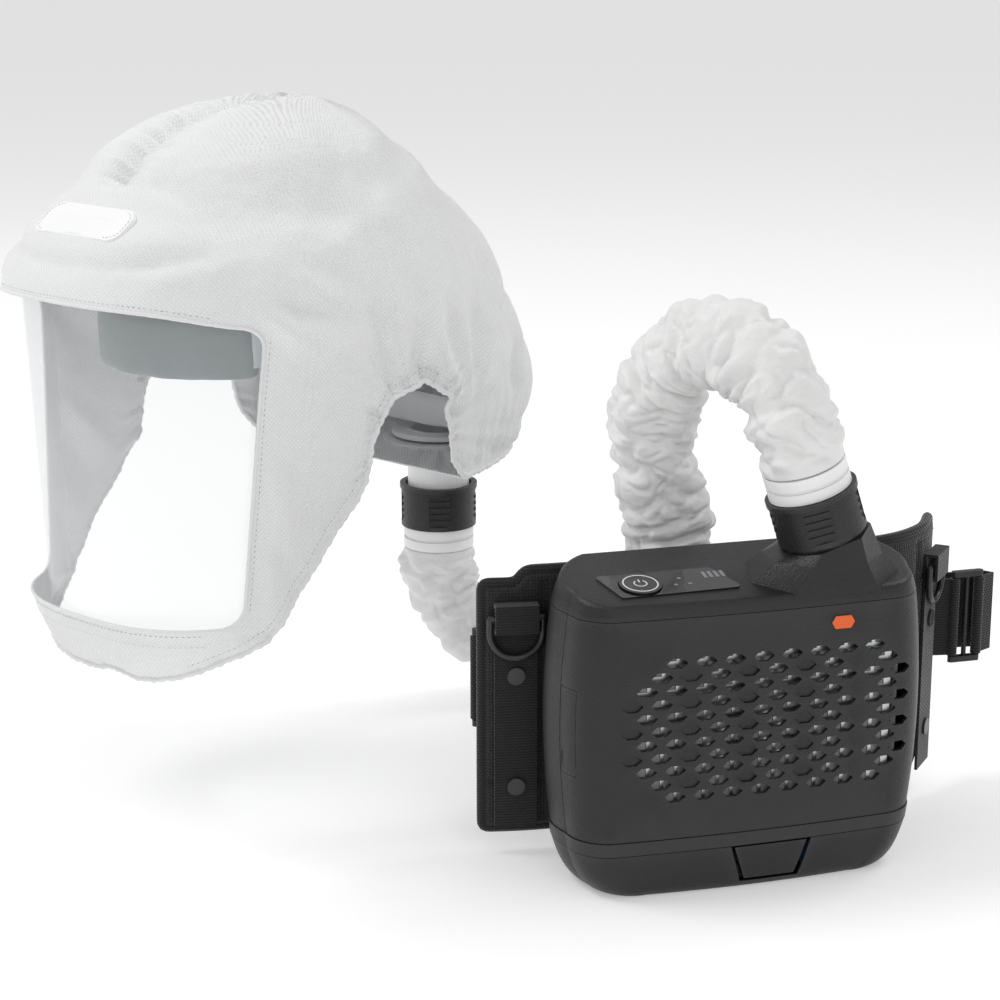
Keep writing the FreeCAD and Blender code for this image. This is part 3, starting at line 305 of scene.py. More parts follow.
def grid_faces(rows, columns, ring=True, loop=False):
    """Quads of points laid row by row; ring joins each row's ends, loop the last row to the first."""
    faces = []
    for i in range(rows if loop else rows - 1):
        i2 = (i + 1) % rows
        for j in range(columns if ring else columns - 1):
            j2 = (j + 1) % columns
            faces.append([i * columns + j, i * columns + j2, i2 * columns + j2, i2 * columns + j])
    return faces


def unit(vectors):
    return vectors / np.linalg.norm(vectors, axis=-1, keepdims=True)


def run_length(points):
    """Distance along a line of points, from its start."""
    return np.concatenate([[0], np.cumsum(np.linalg.norm(np.diff(points, axis=0), axis=1))])


def through(a, b, c, d, t):
    """Catmull-Rom curve from b to c at t, from 0 to 1."""
    return 0.5 * (2 * b + (c - a) * t + (2 * a - 5 * b + 4 * c - d) * t ** 2
                  + (3 * b - a - 3 * c + d) * t ** 3)


def coords(obj, what="co"):
    """A mesh's points, or its normals, as rows."""
    flat = np.empty(len(obj.data.vertices) * 3)
    obj.data.vertices.foreach_get(what, flat)
    return flat.reshape(-1, 3)


def set_coords(obj, points):
    obj.data.vertices.foreach_set("co", np.asarray(points, float).ravel())
    obj.data.update()


def normals(obj):
    obj.data.update()
    return coords(obj, "normal")


def push(obj, scale, seed, height):
    """Move a mesh's points out and in along its normals by noise."""
    points = coords(obj)
    set_coords(obj, points + normals(obj) * (noise_at(points, scale, seed) * height)[:, None])


def modify(obj, kind, **settings):
    """Add a modifier and apply it at once."""
    made = obj.modifiers.new(kind.lower(), kind)
    for key, value in settings.items():
        setattr(made, key, value)
    deps = bpy.context.evaluated_depsgraph_get()
    done = bpy.data.meshes.new_from_object(obj.evaluated_get(deps), depsgraph=deps)
    old = obj.data
    obj.modifiers.clear()
    obj.data = done
    bpy.data.meshes.remove(old)


def bell(x, width):
    return np.exp(-(x / width) ** 2)


def smooth_step(x, low, high):
    t = np.clip((x - low) / (high - low), 0, 1)
    return t * t * (3 - 2 * t)


def noise_at(points, scale, seed=0.0, octaves=3):
    """Fractal noise at points, about -1 to 1."""
    shift = Vector((seed * 3.1, seed * 1.7, seed * 2.3))
    out = np.empty(len(points))
    for k, p in enumerate(points):
        out[k] = noise.fractal(Vector(p) * scale + shift, 1.0, 2.0, octaves)
    return out


# ================= hood =================

# horizontal sections, in millimetres: height, front, back, half width, where it is widest
SECTIONS = np.array([
    (-195, -118, 62, 78, -50),
    (-178, -131, 96, 87, -35),
    (-158, -139, 140, 94, -25),
    (-110, -143, 188, 98.5, -10),
    (-60, -146, 213, 102.5, 5),
    (-20, -147, 196, 105, 12),
    (20, -148, 165, 107, 10),
    (45, -145, 145, 104, 8),
    (60, -134, 135, 95, 8),
    (72, -117, 123, 84, 14),
    (86, -102, 105, 77, 20),
    (100, -87, 85, 70, 26),
    (112, -63, 65, 56, 30),
    (120, -38, 47, 36, 33),
    (124, -8, 40, 16, 34),
    (125, 24, 36, 3, 32),
], float)
HEM_LINE = [(-200, -189), (-122, -189), (-77, -164), (-45, -125), (-9, -84), (-5, -60), (10, -37), (36, -30),
            (62, -45), (70, -84), (84, -100), (300, -100)]
FRONT_SQUARENESS, BACK_SQUARENESS = 2.8, 2.1     # 2 is an ellipse, more is squarer
WINDOW_TOP, WINDOW_BOTTOM, WINDOW_BACK = 18, -154, -80
WINDOW_CORNER = 12.0
BROW_SEAM, CHIN_SEAM, CHEEK_BACK = 52, -160, -52
NAPE_Z, NAPE_FRONT = -100, 84
INLET = np.array([0.0, 156.0])
CELL = 2.2
ON_CUT = 0.12          # millimetres within which a point counts as lying on a cut
CLOTH = 0.0011         # thickness of the fabric
LABEL_AT = np.array([0.0, -123.5, 69.5])
LABEL_TILT = math.radians(36)
LEFT_IS_PLUS_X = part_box("cheek_left")[0][0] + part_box("cheek_left")[1][0] > 0


def section_at(s):
    """Smoothly interpolated section rows at float indices s."""
    last = len(SECTIONS) - 1
    k = np.clip(np.floor(s).astype(int), 0, last - 1)
    before, after = np.clip(k - 1, 0, last), np.clip(k + 2, 0, last)
    return through(SECTIONS[before], SECTIONS[k], SECTIONS[k + 1], SECTIONS[after], (s - k)[:, None])


def hood_surface(turn, s):
    """Points of the hood's plain form; turn runs round it from the wearer's left, s up the sections."""
    row = section_at(s)
    z, front, back, half, widest = row.T
    c, sn = np.cos(turn), np.sin(turn)
    power = np.where(sn < 0, 2 / FRONT_SQUARENESS, 2 / BACK_SQUARENESS)
    reach = np.where(sn < 0, widest - front, back - widest)
    x = half * np.sign(c) * np.abs(c) ** power
    y = widest + reach * np.sign(sn) * np.abs(sn) ** power
    return np.stack([x, y, z], axis=1)


def hood_grid():
    """Turns and section places that lay a grid over the hood's form, about CELL millimetres apart."""
    fine = np.linspace(0, len(SECTIONS) - 1.02, 3000)
    steps = []
    for turn in (-math.pi / 2, 0, math.pi / 2, math.pi / 4):
        line = hood_surface(np.full(len(fine), turn), fine)
        steps.append(np.linalg.norm(np.diff(line, axis=0), axis=1))
    length = np.concatenate([[0], np.cumsum(np.max(steps, axis=0))])
    rows = np.interp(np.linspace(0, length[-1], int(length[-1] / CELL)), length, fine)
    table = np.linspace(-math.pi, math.pi, 4001)
    around = run_length(hood_surface(table, np.full(len(table), 5.0)))
    columns = np.interp(np.linspace(0, around[-1], int(around[-1] / CELL) + 1)[:-1], around, table)
    return columns, rows


def window_top(y):
    """The window's upper edge rises towards the front."""
    return WINDOW_TOP - 3 + 12 * smooth_step(-y, 80, 152)


def window_back(z):
    """The window's side edge leans forward below."""
    return WINDOW_BACK - 0.07 * (WINDOW_TOP - z)


def window_distance(p):
    """Below zero inside the window opening, in millimetres, as seen from the side."""
    top = window_top(p[:, 1])
    middle, half = (top + WINDOW_BOTTOM) / 2, (top - WINDOW_BOTTOM) / 2
    across = p[:, 1] - window_back(p[:, 2]) + WINDOW_CORNER
    up = np.abs(p[:, 2] - middle) - half + WINDOW_CORNER
    outside = np.hypot(np.maximum(across, 0), np.maximum(up, 0))
    return outside + np.minimum(np.maximum(across, up), 0) - WINDOW_CORNER


def hem_height(y):
    line = np.array(HEM_LINE, float)
    return np.interp(y, line[:, 0], line[:, 1])


def hem_step(y):
    """How steep the hem line is there, seen from the side."""
    return (hem_height(y + 2) - hem_height(y - 2)) / 4


def hem_distance(p):
    """Rough distance above the hem, in millimetres; below zero under it."""
    return (p[:, 2] - hem_height(p[:, 1])) / np.sqrt(1 + hem_step(p[:, 1]) ** 2)


def snap_rows(params, points, cut):
    """Move grid points along their grid lines onto the line cut = 0, so that panels end cleanly."""
    value = cut(points.reshape(-1, 3)).reshape(params.shape[:2])
    best = np.full(value.shape, 9.0)
    moved = params.copy()
    wide = params.shape[1]
    for axis in (0, 1):
        nxt = np.roll(value, -1, axis=axis)
        crossing = value * nxt < 0
        if axis == 0:
            crossing[-1, :] = False
        for i, j in zip(*np.nonzero(crossing)):
            i2, j2 = (i + 1, j) if axis == 0 else (i, (j + 1) % wide)
            t = abs(value[i, j]) / (abs(value[i, j]) + abs(value[i2, j2]))
            once_round = np.array([2 * math.pi if axis == 1 and j2 == 0 else 0.0, 0.0])
            spot = params[i, j] + (params[i2, j2] + once_round - params[i, j]) * t
            if t < 0.5 and t < best[i, j]:
                best[i, j], moved[i, j] = t, spot
            if t >= 0.5 and 1 - t < best[i2, j2]:
                best[i2, j2], moved[i2, j2] = 1 - t, spot - once_round
    return moved


def quad_faces(sign, rows, wide):
    """Quads of the grid; a quad whose corners lie on both sides of a cut is split along the cut."""
    faces = []
    for quad in grid_faces(rows, wide):
        split = None
        for s in sign:
            marks = [s[v] for v in quad]
            if 1 in marks and -1 in marks:
                split = 0 if (marks[0] == 0 and marks[2] == 0) else 1
        if split is None:
            faces.append(quad)
        elif split == 0:
            faces += [quad[:3], [quad[0], quad[2], quad[3]]]
        else:
            faces += [[quad[0], quad[1], quad[3]], quad[1:]]
    return faces


FOLDS = [  # start (y, z), direction in degrees, length, height, first width: folds seen from the side
    ((80, -55), 128, 95, 3.6, 5), ((84, -50), 100, 88, 3.0, 5), ((90, -48), 72, 84, 3.4, 5),
    ((96, -52), 45, 78, 2.6, 5), ((72, -52), 150, 70, 2.6, 4), ((-84, 22), -38, 92, 3.2, 6),
    ((-60, 40), -30, 70, 1.8, 6), ((-82, -60), -62, 90, 1.6, 7), ((-84, -110), -78, 70, 1.4, 6),
    ((10, 62), 12, 100, 2.2, 9), ((-30, 50), 35, 90, 2.0, 9), ((120, -10), 78, 80, 2.4, 8),
    ((40, -22), 70, 60, 2.2, 6), ((20, -28), 105, 66, 1.8, 5), ((150, -60), 100, 70, 2.2, 6),
]
FOLD_GAIN = 1.85


def fold_lift(p, seed):
    """Height of the long soft folds at p; the two sides differ a little by seed."""
    total = np.zeros(len(p))
    for n, ((y0, z0), degrees, length, height, width) in enumerate(FOLDS):
        wobble = 9 * math.sin(seed * 2.1 + n * 1.7)
        a = math.radians(degrees + wobble)
        dy, dz = p[:, 1] - y0, p[:, 2] - z0
        along = dy * math.cos(a) + dz * math.sin(a)
        across = -dy * math.sin(a) + dz * math.cos(a) + 0.0016 * along ** 2 * math.sin(n + seed)
        spread = width + 0.10 * np.clip(along, 0, None)
        fade = smooth_step(along, -6, 14) * (1 - smooth_step(along, length * 0.45, length))
        ridge = bell(across, spread) - 0.55 * bell(across - 1.7 * spread, spread * 0.8)
        total += FOLD_GAIN * height * fade * ridge
    return total


def fading(above, reach):
    """1 at the hem, dying away above it."""
    return np.exp(-np.clip(above, 0, None) / reach)


def crown_gathers(p, side):
    """Ribs gathered into the crown's middle seam, and the valley of the seam."""
    run = np.arctan2(p[:, 1] - 20, p[:, 2] + 60) * 160
    ribs = 0.6 * np.sin(run * 2 * math.pi / 6.6 + 1.3 * np.sin(run / 17) + side)
    ribs += 0.4 * np.sin(run * 2 * math.pi / 12.9 + 2.1 * side + 0.8 * np.sin(run / 9))
    off = np.abs(p[:, 0])
    top = smooth_step(p[:, 2], 56, 74)
    return top * (2.4 * ribs * bell(off - 7, 11) - 6.0 * bell(off, 6.5) + 3.0 * bell(off - 21, 14))


def brow_and_chin(p):
    """Crease along the brow seam with the roll under it, the chin seam, and the flatter brow."""
    x, y, z = p.T
    crease = BROW_SEAM - 1 + 7 * np.abs(x / 90) ** 2
    brow = smooth_step(-y, 92, 128)
    lift = 1.8 * bell(z - crease + 13, 9) * brow - 3.2 * bell(z - crease, 5.5) * brow
    lift -= 1.3 * bell(z - CHIN_SEAM, 2.6) * smooth_step(-y, 30, 60)
    return lift - 3.4 * smooth_step(z, 26, 46) * smooth_step(-y, 60, 120) - 1.2 * smooth_step(-y, 90, 130)


def hem_gathers(p, side, above):
    """Puckers that the elastic draws in round the ear, at the back and along the cheek."""
    x, y, z = p.T
    round_ear = np.arctan2(z + 62, y - 34) * 52
    ear = 0.6 * np.sin(round_ear * 2 * math.pi / 7.1 + np.sin(round_ear / 6))
    ear += 0.5 * np.sin(round_ear * 2 * math.pi / 11.3 + 1.0 + side)
    lift = 1.9 * ear * fading(above, 17) * smooth_step(y, -40, -10) * (1 - smooth_step(z, -20, 10))
    round_back = np.arctan2(x, y - 50) * 105
    tucks = 0.7 * np.sin(round_back * 2 * math.pi / 10.4 + 1.2 * np.sin(round_back / 11))
    tucks += 0.5 * np.sin(round_back * 2 * math.pi / 16.7 + 0.7)
    lift += 2.6 * tucks * fading(above, 24) * smooth_step(y, NAPE_FRONT, NAPE_FRONT + 20)
    return lift + 1.1 * np.sin(y / 13 + 0.9 * side) * fading(above, 20) * smooth_step(-y, 20, 60)


def drape(p):
    """How far the fabric stands out from its plain form, in millimetres."""
    x, y, z = p.T
    side = np.where(x > 0, 1.0, -1.0)
    above = hem_distance(p)
    metres = p * MM
    lift = 2.4 * noise_at(metres, 13, 1) + 1.1 * noise_at(metres, 34, 2) + 0.35 * noise_at(metres, 95, 3)
    lift += np.where(x > 0, fold_lift(p, 0.0), fold_lift(p, 1.3))
    lift += crown_gathers(p, side) + brow_and_chin(p) + hem_gathers(p, side, above)
    lift *= 0.08 + 0.92 * smooth_step(window_distance(p), 0, 16)
    from_label = np.hypot(x / 3.4, (z - LABEL_AT[2]) * 1.2) + np.clip(y + 100, 0, None)
    lift *= smooth_step(from_label, 15, 30)
    return lift * np.where(y > NAPE_FRONT, smooth_step(above, 0, 9), 1.0)


# each panel's widest and longest run along the cloth in metres, and its worn area
PANELS = {
    "crown_left": (0.466, 0.408, 0.0783),
    "crown_right": (0.466, 0.408, 0.0783),
    "brow_band": (0.324, 0.041, 0.0098),
    "cheek_left": (0.105, 0.182, 0.0073),
    "cheek_right": (0.105, 0.182, 0.0073),
    "chin_piece": (0.250, 0.033, 0.0059),
}


def panel_of(centre):
    """Which sewn panel a point of the hood belongs to."""
    x, y, z = centre
    side = "left" if (x > 0) == LEFT_IS_PLUS_X else "right"
    if y < CHEEK_BACK and z < BROW_SEAM:
        if z < CHIN_SEAM:
            return "chin_piece"
        return "brow_band" if z > WINDOW_TOP else "cheek_" + side
    return "crown_" + side


def cloth_uv(grid, front):
    """Metres round the hood from its front column, both ways, and up it."""
    along = np.cumsum(np.linalg.norm(np.roll(grid, -1, axis=1) - grid, axis=2), axis=1)
    from_front = np.abs(along - along[:, [front]])
    u = np.minimum(from_front, along[:, -1:] - from_front)
    rows = np.linalg.norm(np.diff(grid, axis=0, prepend=grid[:1]), axis=2)
    return np.stack([u.ravel(), np.cumsum(rows, axis=0).ravel()], axis=1) * MM


def make_hood():
    """The hood's panels, cut from one draped surface, each with its thickness."""
    columns, rows = hood_grid()
    turn, s = np.meshgrid(columns, rows)
    params = np.stack([turn, s], axis=2)
    wide, high = len(columns), len(rows)

    def at(par):
        return hood_surface(par[:, :, 0].ravel(), par[:, :, 1].ravel())

    cuts = [window_distance, hem_distance, lambda p: p[:, 1] - CHEEK_BACK, lambda p: p[:, 2] - BROW_SEAM,
            lambda p: p[:, 2] - CHIN_SEAM, lambda p: p[:, 2] - WINDOW_TOP]
    for cut in reversed(cuts):
        params = snap_rows(params, at(params).reshape(high, wide, 3), cut)
    points = at(params)
    signs = []
    for cut in cuts:
        value = cut(points)
        signs.append(np.where(np.abs(value) > ON_CUT, np.sign(value), 0))
    faces = quad_faces(signs, high, wide)
    faces.append([(high - 1) * wide + j for j in range(wide)])
    centres = np.array([points[f].mean(axis=0) for f in faces])
    keep = (window_distance(centres) > 0) & (hem_distance(centres) > 0)
    kept = [f for f, k in zip(faces, keep) if k]
    skin = mesh_object("hood_skin", points * MM, kept)
    out = normals(skin)
    bpy.data.objects.remove(skin)
    out /= np.maximum(np.linalg.norm(out, axis=1), 1e-9)[:, None]
    lifted = points + out * drape(points)[:, None]
    uv = cloth_uv(points.reshape(high, wide, 3), int(np.argmin(np.abs(columns + math.pi / 2))))
    names = [panel_of(c) for c in centres[keep]]
    surface = mesh_object("hood_surface", lifted * MM, kept, uv)
    shading = normals(surface)
    for name, (width, length, area) in PANELS.items():
        chosen = [f for f, n in zip(kept, names) if n == name]
        panel = cloth_panel(name, chosen, lifted * MM, shading, uv)
    return surface


def cloth_panel(name, chosen, points, shading, uv):
    """One panel: outer and inner faces and walls round its border, shaded as one sheet with the rest."""
    used = sorted({i for f in chosen for i in f})
    renumber = {old: new for new, old in enumerate(used)}
    count = len(used)
    outer = [[renumber[i] for i in f] for f in chosen]
    edges = dict.fromkeys((a, b) for f in outer for a, b in zip(f, f[1:] + f[:1]))
    walls = [[b, a, a + count, b + count] for a, b in edges if (b, a) not in edges]
    inner = [[i + count for i in reversed(f)] for f in outer]
    n = shading[used]
    verts = np.vstack([points[used], points[used] - n * CLOTH])
    panel = mesh_object(name + "_cloth", verts, outer + inner + walls, np.vstack([uv[used], uv[used]]))
    settle(panel, "hood_fabric", name)
    panel.data.normals_split_custom_set_from_vertices([tuple(v) for v in np.vstack([n, -n])])
    return panel


def edge_loops(obj):
    """Open border loops of a mesh, as lists of vertex numbers in order, always from the same start."""
    b = bmesh.new()
    b.from_mesh(obj.data)
    unused = {e.index: e for e in b.edges if e.is_boundary}
    loops = []
    while unused:
        edge = unused.pop(min(unused))
        loop, spot = [edge.verts[0].index], edge.verts[0]
        while edge:
            spot = edge.other_vert(spot)
            loop.append(spot.index)
            edge = next((unused.pop(e.index) for e in spot.link_edges if e.index in unused), None)
        loops.append(loop)
    b.free()
    return loops


def points_at(points, run, at):
    """Points of a line at distances along it; run is the distance of each of its own points."""
    return np.stack([np.interp(at, run, along) for along in np.asarray(points).T], axis=1)


def even_path(points, pitch):
    """The same line with even steps of about pitch."""
    run = run_length(points)
    return points_at(points, run, np.linspace(0, run[-1], max(2, int(round(run[-1] / pitch)) + 1)))


def smooth_line(points, times, closed):
    """The same line with each point drawn towards its neighbours, a number of times."""
    p = np.asarray(points, float).copy()
    for _ in range(times):
        if closed:
            body = p[:-1]
            body = 0.5 * body + 0.25 * (np.roll(body, 1, axis=0) + np.roll(body, -1, axis=0))
            p = np.vstack([body, body[:1]])
        else:
            p[1:-1] = 0.5 * p[1:-1] + 0.25 * (p[:-2] + p[2:])
    return p


def untwisted_sides(ahead, closed):
    """A sideways direction at each step of a line, carried along it with no twist."""
    first = np.cross(ahead[0], (0, 0, 1))
    if np.linalg.norm(first) < 0.1:
        first = np.cross(ahead[0], (0, 1, 0))
    side = np.zeros_like(ahead)
    side[0] = unit(first)
    for k in range(1, len(ahead)):
        side[k] = unit(side[k - 1] - ahead[k] * np.dot(side[k - 1], ahead[k]))
    if closed:
        last = unit(side[-1] - ahead[0] * np.dot(side[-1], ahead[0]))
        twist = math.atan2(np.dot(np.cross(last, side[0]), ahead[0]), np.dot(last, side[0]))
        for k in range(len(ahead)):
            a = twist * k / len(ahead)
            side[k] = side[k] * math.cos(a) + np.cross(ahead[k], side[k]) * math.sin(a)
    return side


def tube(name, line, radius, sides=12, closed=False, flat=None):
    """Round roll along a line, radius one number or one a point; flat is (normals, thickness factor)."""
    line = np.asarray(line, float)
    if closed:
        line = line[:-1]
    count = len(line)
    ahead = np.roll(line, -1, axis=0) - np.roll(line, 1, axis=0)
    if not closed:
        ahead[0], ahead[-1] = line[1] - line[0], line[-1] - line[-2]
    ahead = unit(ahead)
    if flat is None:
        side, squeeze = untwisted_sides(ahead, closed), 1.0
    else:
        side, squeeze = unit(np.cross(ahead, flat[0])), flat[1]
    up = np.cross(side, ahead)
    angle = np.linspace(0, 2 * math.pi, sides, endpoint=False)
    r = np.broadcast_to(radius, (count, sides))
    verts = (line[:, None, :] + side[:, None, :] * (r * np.cos(angle))[:, :, None]
             + up[:, None, :] * (r * squeeze * np.sin(angle))[:, :, None]).reshape(-1, 3)
    faces = grid_faces(count, sides, loop=closed)
    if not closed:
        faces.append(list(range(sides - 1, -1, -1)))
        faces.append([(count - 1) * sides + j for j in range(sides)])
    return mesh_object(name, verts, faces)


def tree_of(obj):
    """Search tree of a mesh, for rays."""
    b = bmesh.new()
    b.from_mesh(obj.data)
    tree = BVHTree.FromBMesh(b)
    b.free()
    return tree


def on_surface(tree, origins, direction):
    """Where rays from the origins (millimetres) meet the hood; gaps are dropped."""
    found, facing = [], []
    for o in origins:
        hit, normal, _, _ = tree.ray_cast(Vector(o) * MM, Vector(direction))
        if hit is not None:
            found.append(hit)
            facing.append(-normal if normal.dot(Vector(direction)) > 0 else normal)
    return np.array(found), np.array(facing)


LONGEST_GAP = 0.012     # metres between two points of a sewn row; a wider gap is left unsewn


def stitches(name, runs, slot, pitch=0.0031, length=0.0021, width=0.00042):
    """Rows of thread dashes; each run is (points, normals) on the cloth."""
    ball = bmesh.new()
    bmesh.ops.create_icosphere(ball, subdivisions=1, radius=1)
    shape = np.array([v.co[:] for v in ball.verts])
    shape_faces = [[v.index for v in f.verts] for f in ball.faces]
    ball.free()
    verts, faces = [], []
    for points, facing in runs:
        if len(points) < 3:
            continue
        run = run_length(points)
        step = np.diff(run)
        for at in np.arange(pitch / 2, run[-1], pitch):
            k = int(np.clip(np.searchsorted(run, at) - 1, 0, len(points) - 2))
            if step[k] > LONGEST_GAP:
                continue
            ahead = (points[k + 1] - points[k]) / max(step[k], 1e-9)
            spot = points[k] + ahead * (at - run[k])
            side = np.cross(ahead, facing[k])
            side /= max(np.linalg.norm(side), 1e-9)
            faces += [[i + len(verts) for i in f] for f in shape_faces]
            verts += list(spot + shape @ np.array([ahead * length, side * width, facing[k] * width]) / 2)
    settle(mesh_object(name, verts, faces), slot)


def hood_stitches(tree):
    """Every sewn row that shows on the hood: round the visor, along the hem and the chin seam."""
    runs = []
    for side in (1, -1):
        z = np.arange(WINDOW_BOTTOM + 8, WINDOW_TOP - 8, 2.0)
        edge = [(side * 200, window_back(h) + 3, h) for h in z]
        runs.append(on_surface(tree, edge, (-side, 0, 0)))
        hem = [(side * 200, v, hem_height(v) + 6.5 * math.hypot(1, hem_step(v)))
               for v in np.arange(-114, 84, 2.0) if abs(hem_step(v)) < 4]
        runs.append(on_surface(tree, hem, (-side, 0, 0)))
    above_window = [(v, -260, window_top(hood_front_y(v)) + 3) for v in np.arange(-88, 88, 2.0)]
    runs.append(on_surface(tree, above_window, (0, 1, 0)))
    for height, reach in ((CHIN_SEAM - 4, 76), (WINDOW_BOTTOM - 3, 76)):
        runs.append(on_surface(tree, [(v, -260, height) for v in np.arange(-reach, reach, 2.0)], (0, 1, 0)))
    stitches("hood_stitches", runs, "elastic")


def hood_front_y(x):
    """Front of the hood's plain form at brow level for a side place x."""
    _, front, _, half, widest = SECTIONS[6]
    share = max(0.0, 1 - abs(x / half) ** FRONT_SQUARENESS) ** (1 / FRONT_SQUARENESS)
    return widest - (widest - front) * share


def hem_roll(surface):
    """Turned edge of the fabric, round the open hem with its elastic and round the window."""
    points = coords(surface)
    around = np.linspace(0, 2 * math.pi, 10, endpoint=False)
    for loop in sorted(edge_loops(surface), key=len, reverse=True)[:2]:
        closed = loop[0] == loop[-1]
        line = even_path(smooth_line(points[loop], 2, closed), 0.0018)
        is_hem = line[:, 1].mean() > -0.1
        name, radius, puckered = ("hem_roll", 0.0017, 1.0) if is_hem else ("window_binding", 0.0011, 0.2)
        run = np.arange(len(line) - (1 if closed else 0))
        pucker = 0.00035 * np.sin(run * 1.9)[:, None] + 0.0002 * np.sin(run[:, None] * 0.83 + around)
        roll = tube(name, line, radius + pucker * puckered, 10, closed)
        settle(roll, "hood_fabric", "hem_elastic" if is_hem else None)


def nape_floor(surface):
    """Gathered fabric that closes the hood behind the neck, clamped round the air inlet."""
    sides, rings, inner = 220, 26, 21
    angle = np.linspace(0, 2 * math.pi, sides, endpoint=False)
    table = np.linspace(-math.pi, math.pi, 2400)
    level = float(np.interp(NAPE_Z, SECTIONS[:, 0], np.arange(len(SECTIONS))))
    outline = hood_surface(table, np.full(len(table), level))[:, :2]
    outline = outline[outline[:, 1] > NAPE_FRONT]
    front = np.linspace(outline[:, 0].max(), outline[:, 0].min(), 300)
    border = np.vstack([outline, np.stack([front, np.full(300, float(NAPE_FRONT))], axis=1)]) - INLET
    reach = np.interp(angle, np.arctan2(border[:, 1], border[:, 0]), np.linalg.norm(border, axis=1),
                      period=2 * math.pi)
    verts = []
    for k in range(rings + 1):
        t = k / rings
        r = inner + (reach - inner) * t
        gather = 4.8 * np.sin(angle * 23 + 0.6 * np.sin(angle * 5)) + 4.4 * np.sin(angle * 41 + t * 3)
        sag = 4.0 * math.sin(math.pi * t) + gather * t * (1 - t)
        verts.append(np.stack([INLET[0] + r * np.cos(angle), INLET[1] + r * np.sin(angle),
                               NAPE_Z - 0.6 - sag * 0.8], axis=1))
    verts = np.vstack(verts)
    faces = [[a, d, c, b] for a, b, c, d in grid_faces(rings + 1, sides)]
    floor = mesh_object("nape_cloth", verts * MM, faces, verts[:, :2] * MM)
    modify(floor, "SOLIDIFY", thickness=CLOTH, offset=0)
    settle(floor, "hood_fabric", "nape_piece")


def rounded_outline(half_w, half_h, corner):
    """Points round a rectangle with rounded corners."""
    outline = []
    for sx, sy, start in ((1, 1, 0), (-1, 1, 90), (-1, -1, 180), (1, -1, 270)):
        for a in np.radians(np.linspace(start, start + 90, 12)):
            outline.append((sx * (half_w - corner) + corner * math.cos(a),
                            sy * (half_h - corner) + corner * math.sin(a)))
    return outline


def label(tree):
    """Plain satin patch with rounded corners, bowed over the brow, its edge sewn down to the cloth."""
    half_w, half_h = 36.0, 12.0
    across = np.array([1.0, 0, 0])
    up = np.array([0, math.cos(LABEL_TILT), math.sin(LABEL_TILT)])
    facing = np.array([0, -math.sin(LABEL_TILT), math.cos(LABEL_TILT)])
    outline = rounded_outline(half_w, half_h, 8.0)

    def cloth_height(px, py):
        spot = LABEL_AT + across * px + up * py + facing * 30
        hit, _, _, _ = tree.ray_cast(Vector(spot) * MM, Vector(-facing))
        return 0.0 if hit is None else float(np.dot(np.array(hit) / MM - LABEL_AT, facing))

    centre_height = cloth_height(0, 0)
    bow = (cloth_height(30, 0) + cloth_height(-30, 0) - 2 * centre_height) / (2 * 30 ** 2)
    samples = [(px, py) for px in np.linspace(-34, 34, 18) for py in np.linspace(-10, 10, 7)]
    clear = max(cloth_height(px, py) - centre_height - bow * px ** 2 for px, py in samples)
    # rings from the edge inwards: share of the outline, height above the bowed plane
    rings = [(1.0, None), (0.995, 0.75), (0.975, 1.0), (0.93, 1.02), (0.86, 0.95), (0.7, 1.0), (0.45, 1.05),
             (0.2, 1.08)]
    verts, flat = [], []
    for share, rise in rings:
        for px, py in outline:
            q = np.array([px * (1 - (1 - share) * half_h / half_w), py * share])
            if rise is None:
                lift = cloth_height(q[0], q[1]) - 0.6
            else:
                lift = centre_height + bow * q[0] ** 2 + clear * 0.8 + rise
            verts.append(LABEL_AT + across * q[0] + up * q[1] + facing * lift)
            flat.append(q)
    count = len(outline)
    faces = grid_faces(len(rings), count)
    faces.append([(len(rings) - 1) * count + j for j in range(count)])
    patch = mesh_object("label_plain", np.array(verts) * MM, faces, np.array(flat) * MM)
    settle(patch, "elastic", "label_patch")
    paint(patch, "label_satin")
    sewn = 4 * count
    rim = np.array(verts[sewn:sewn + count] + verts[sewn:sewn + 1]) * MM + facing * 0.0001
    stitches("label_stitches", [(rim, np.tile(facing, (len(rim), 1)))], "elastic", 0.0022, 0.0015, 0.00035)


# ================= hose =================

HOSE_LENGTH = 0.711
CUFF_REACH = 40.8             # along the spout's axis to the lower cuff's end, in millimetres
SPOUT_MOUTH = (46, 3, 190)
SPOUT_TILT = math.radians(18)


def spout_point(reach):
    """Point on the blower spout's axis, in the blower's frame."""
    x, y, z = SPOUT_MOUTH
    return (x - math.sin(SPOUT_TILT) * reach, y, z + math.cos(SPOUT_TILT) * reach)


HOSE_LOOP = [(16, 15, 282), (1, 42, 292), (-13, 69, 282), (-21, 86, 254), (-20, 92, 220), (-12, 95, 185),
             (-3, 98, 151), (1, 101, 116), (-1, 105, 80)]
HOSE_FAR = [(224, 140, -236), (208, 170, -256), (180, 202, -260), (142, 224, -260.2), (100, 230, -260),
            (60, 218, -259.5), (28, 194, -250), (8, 170, -229), (0, 156, -202), (0, 156, -174)]


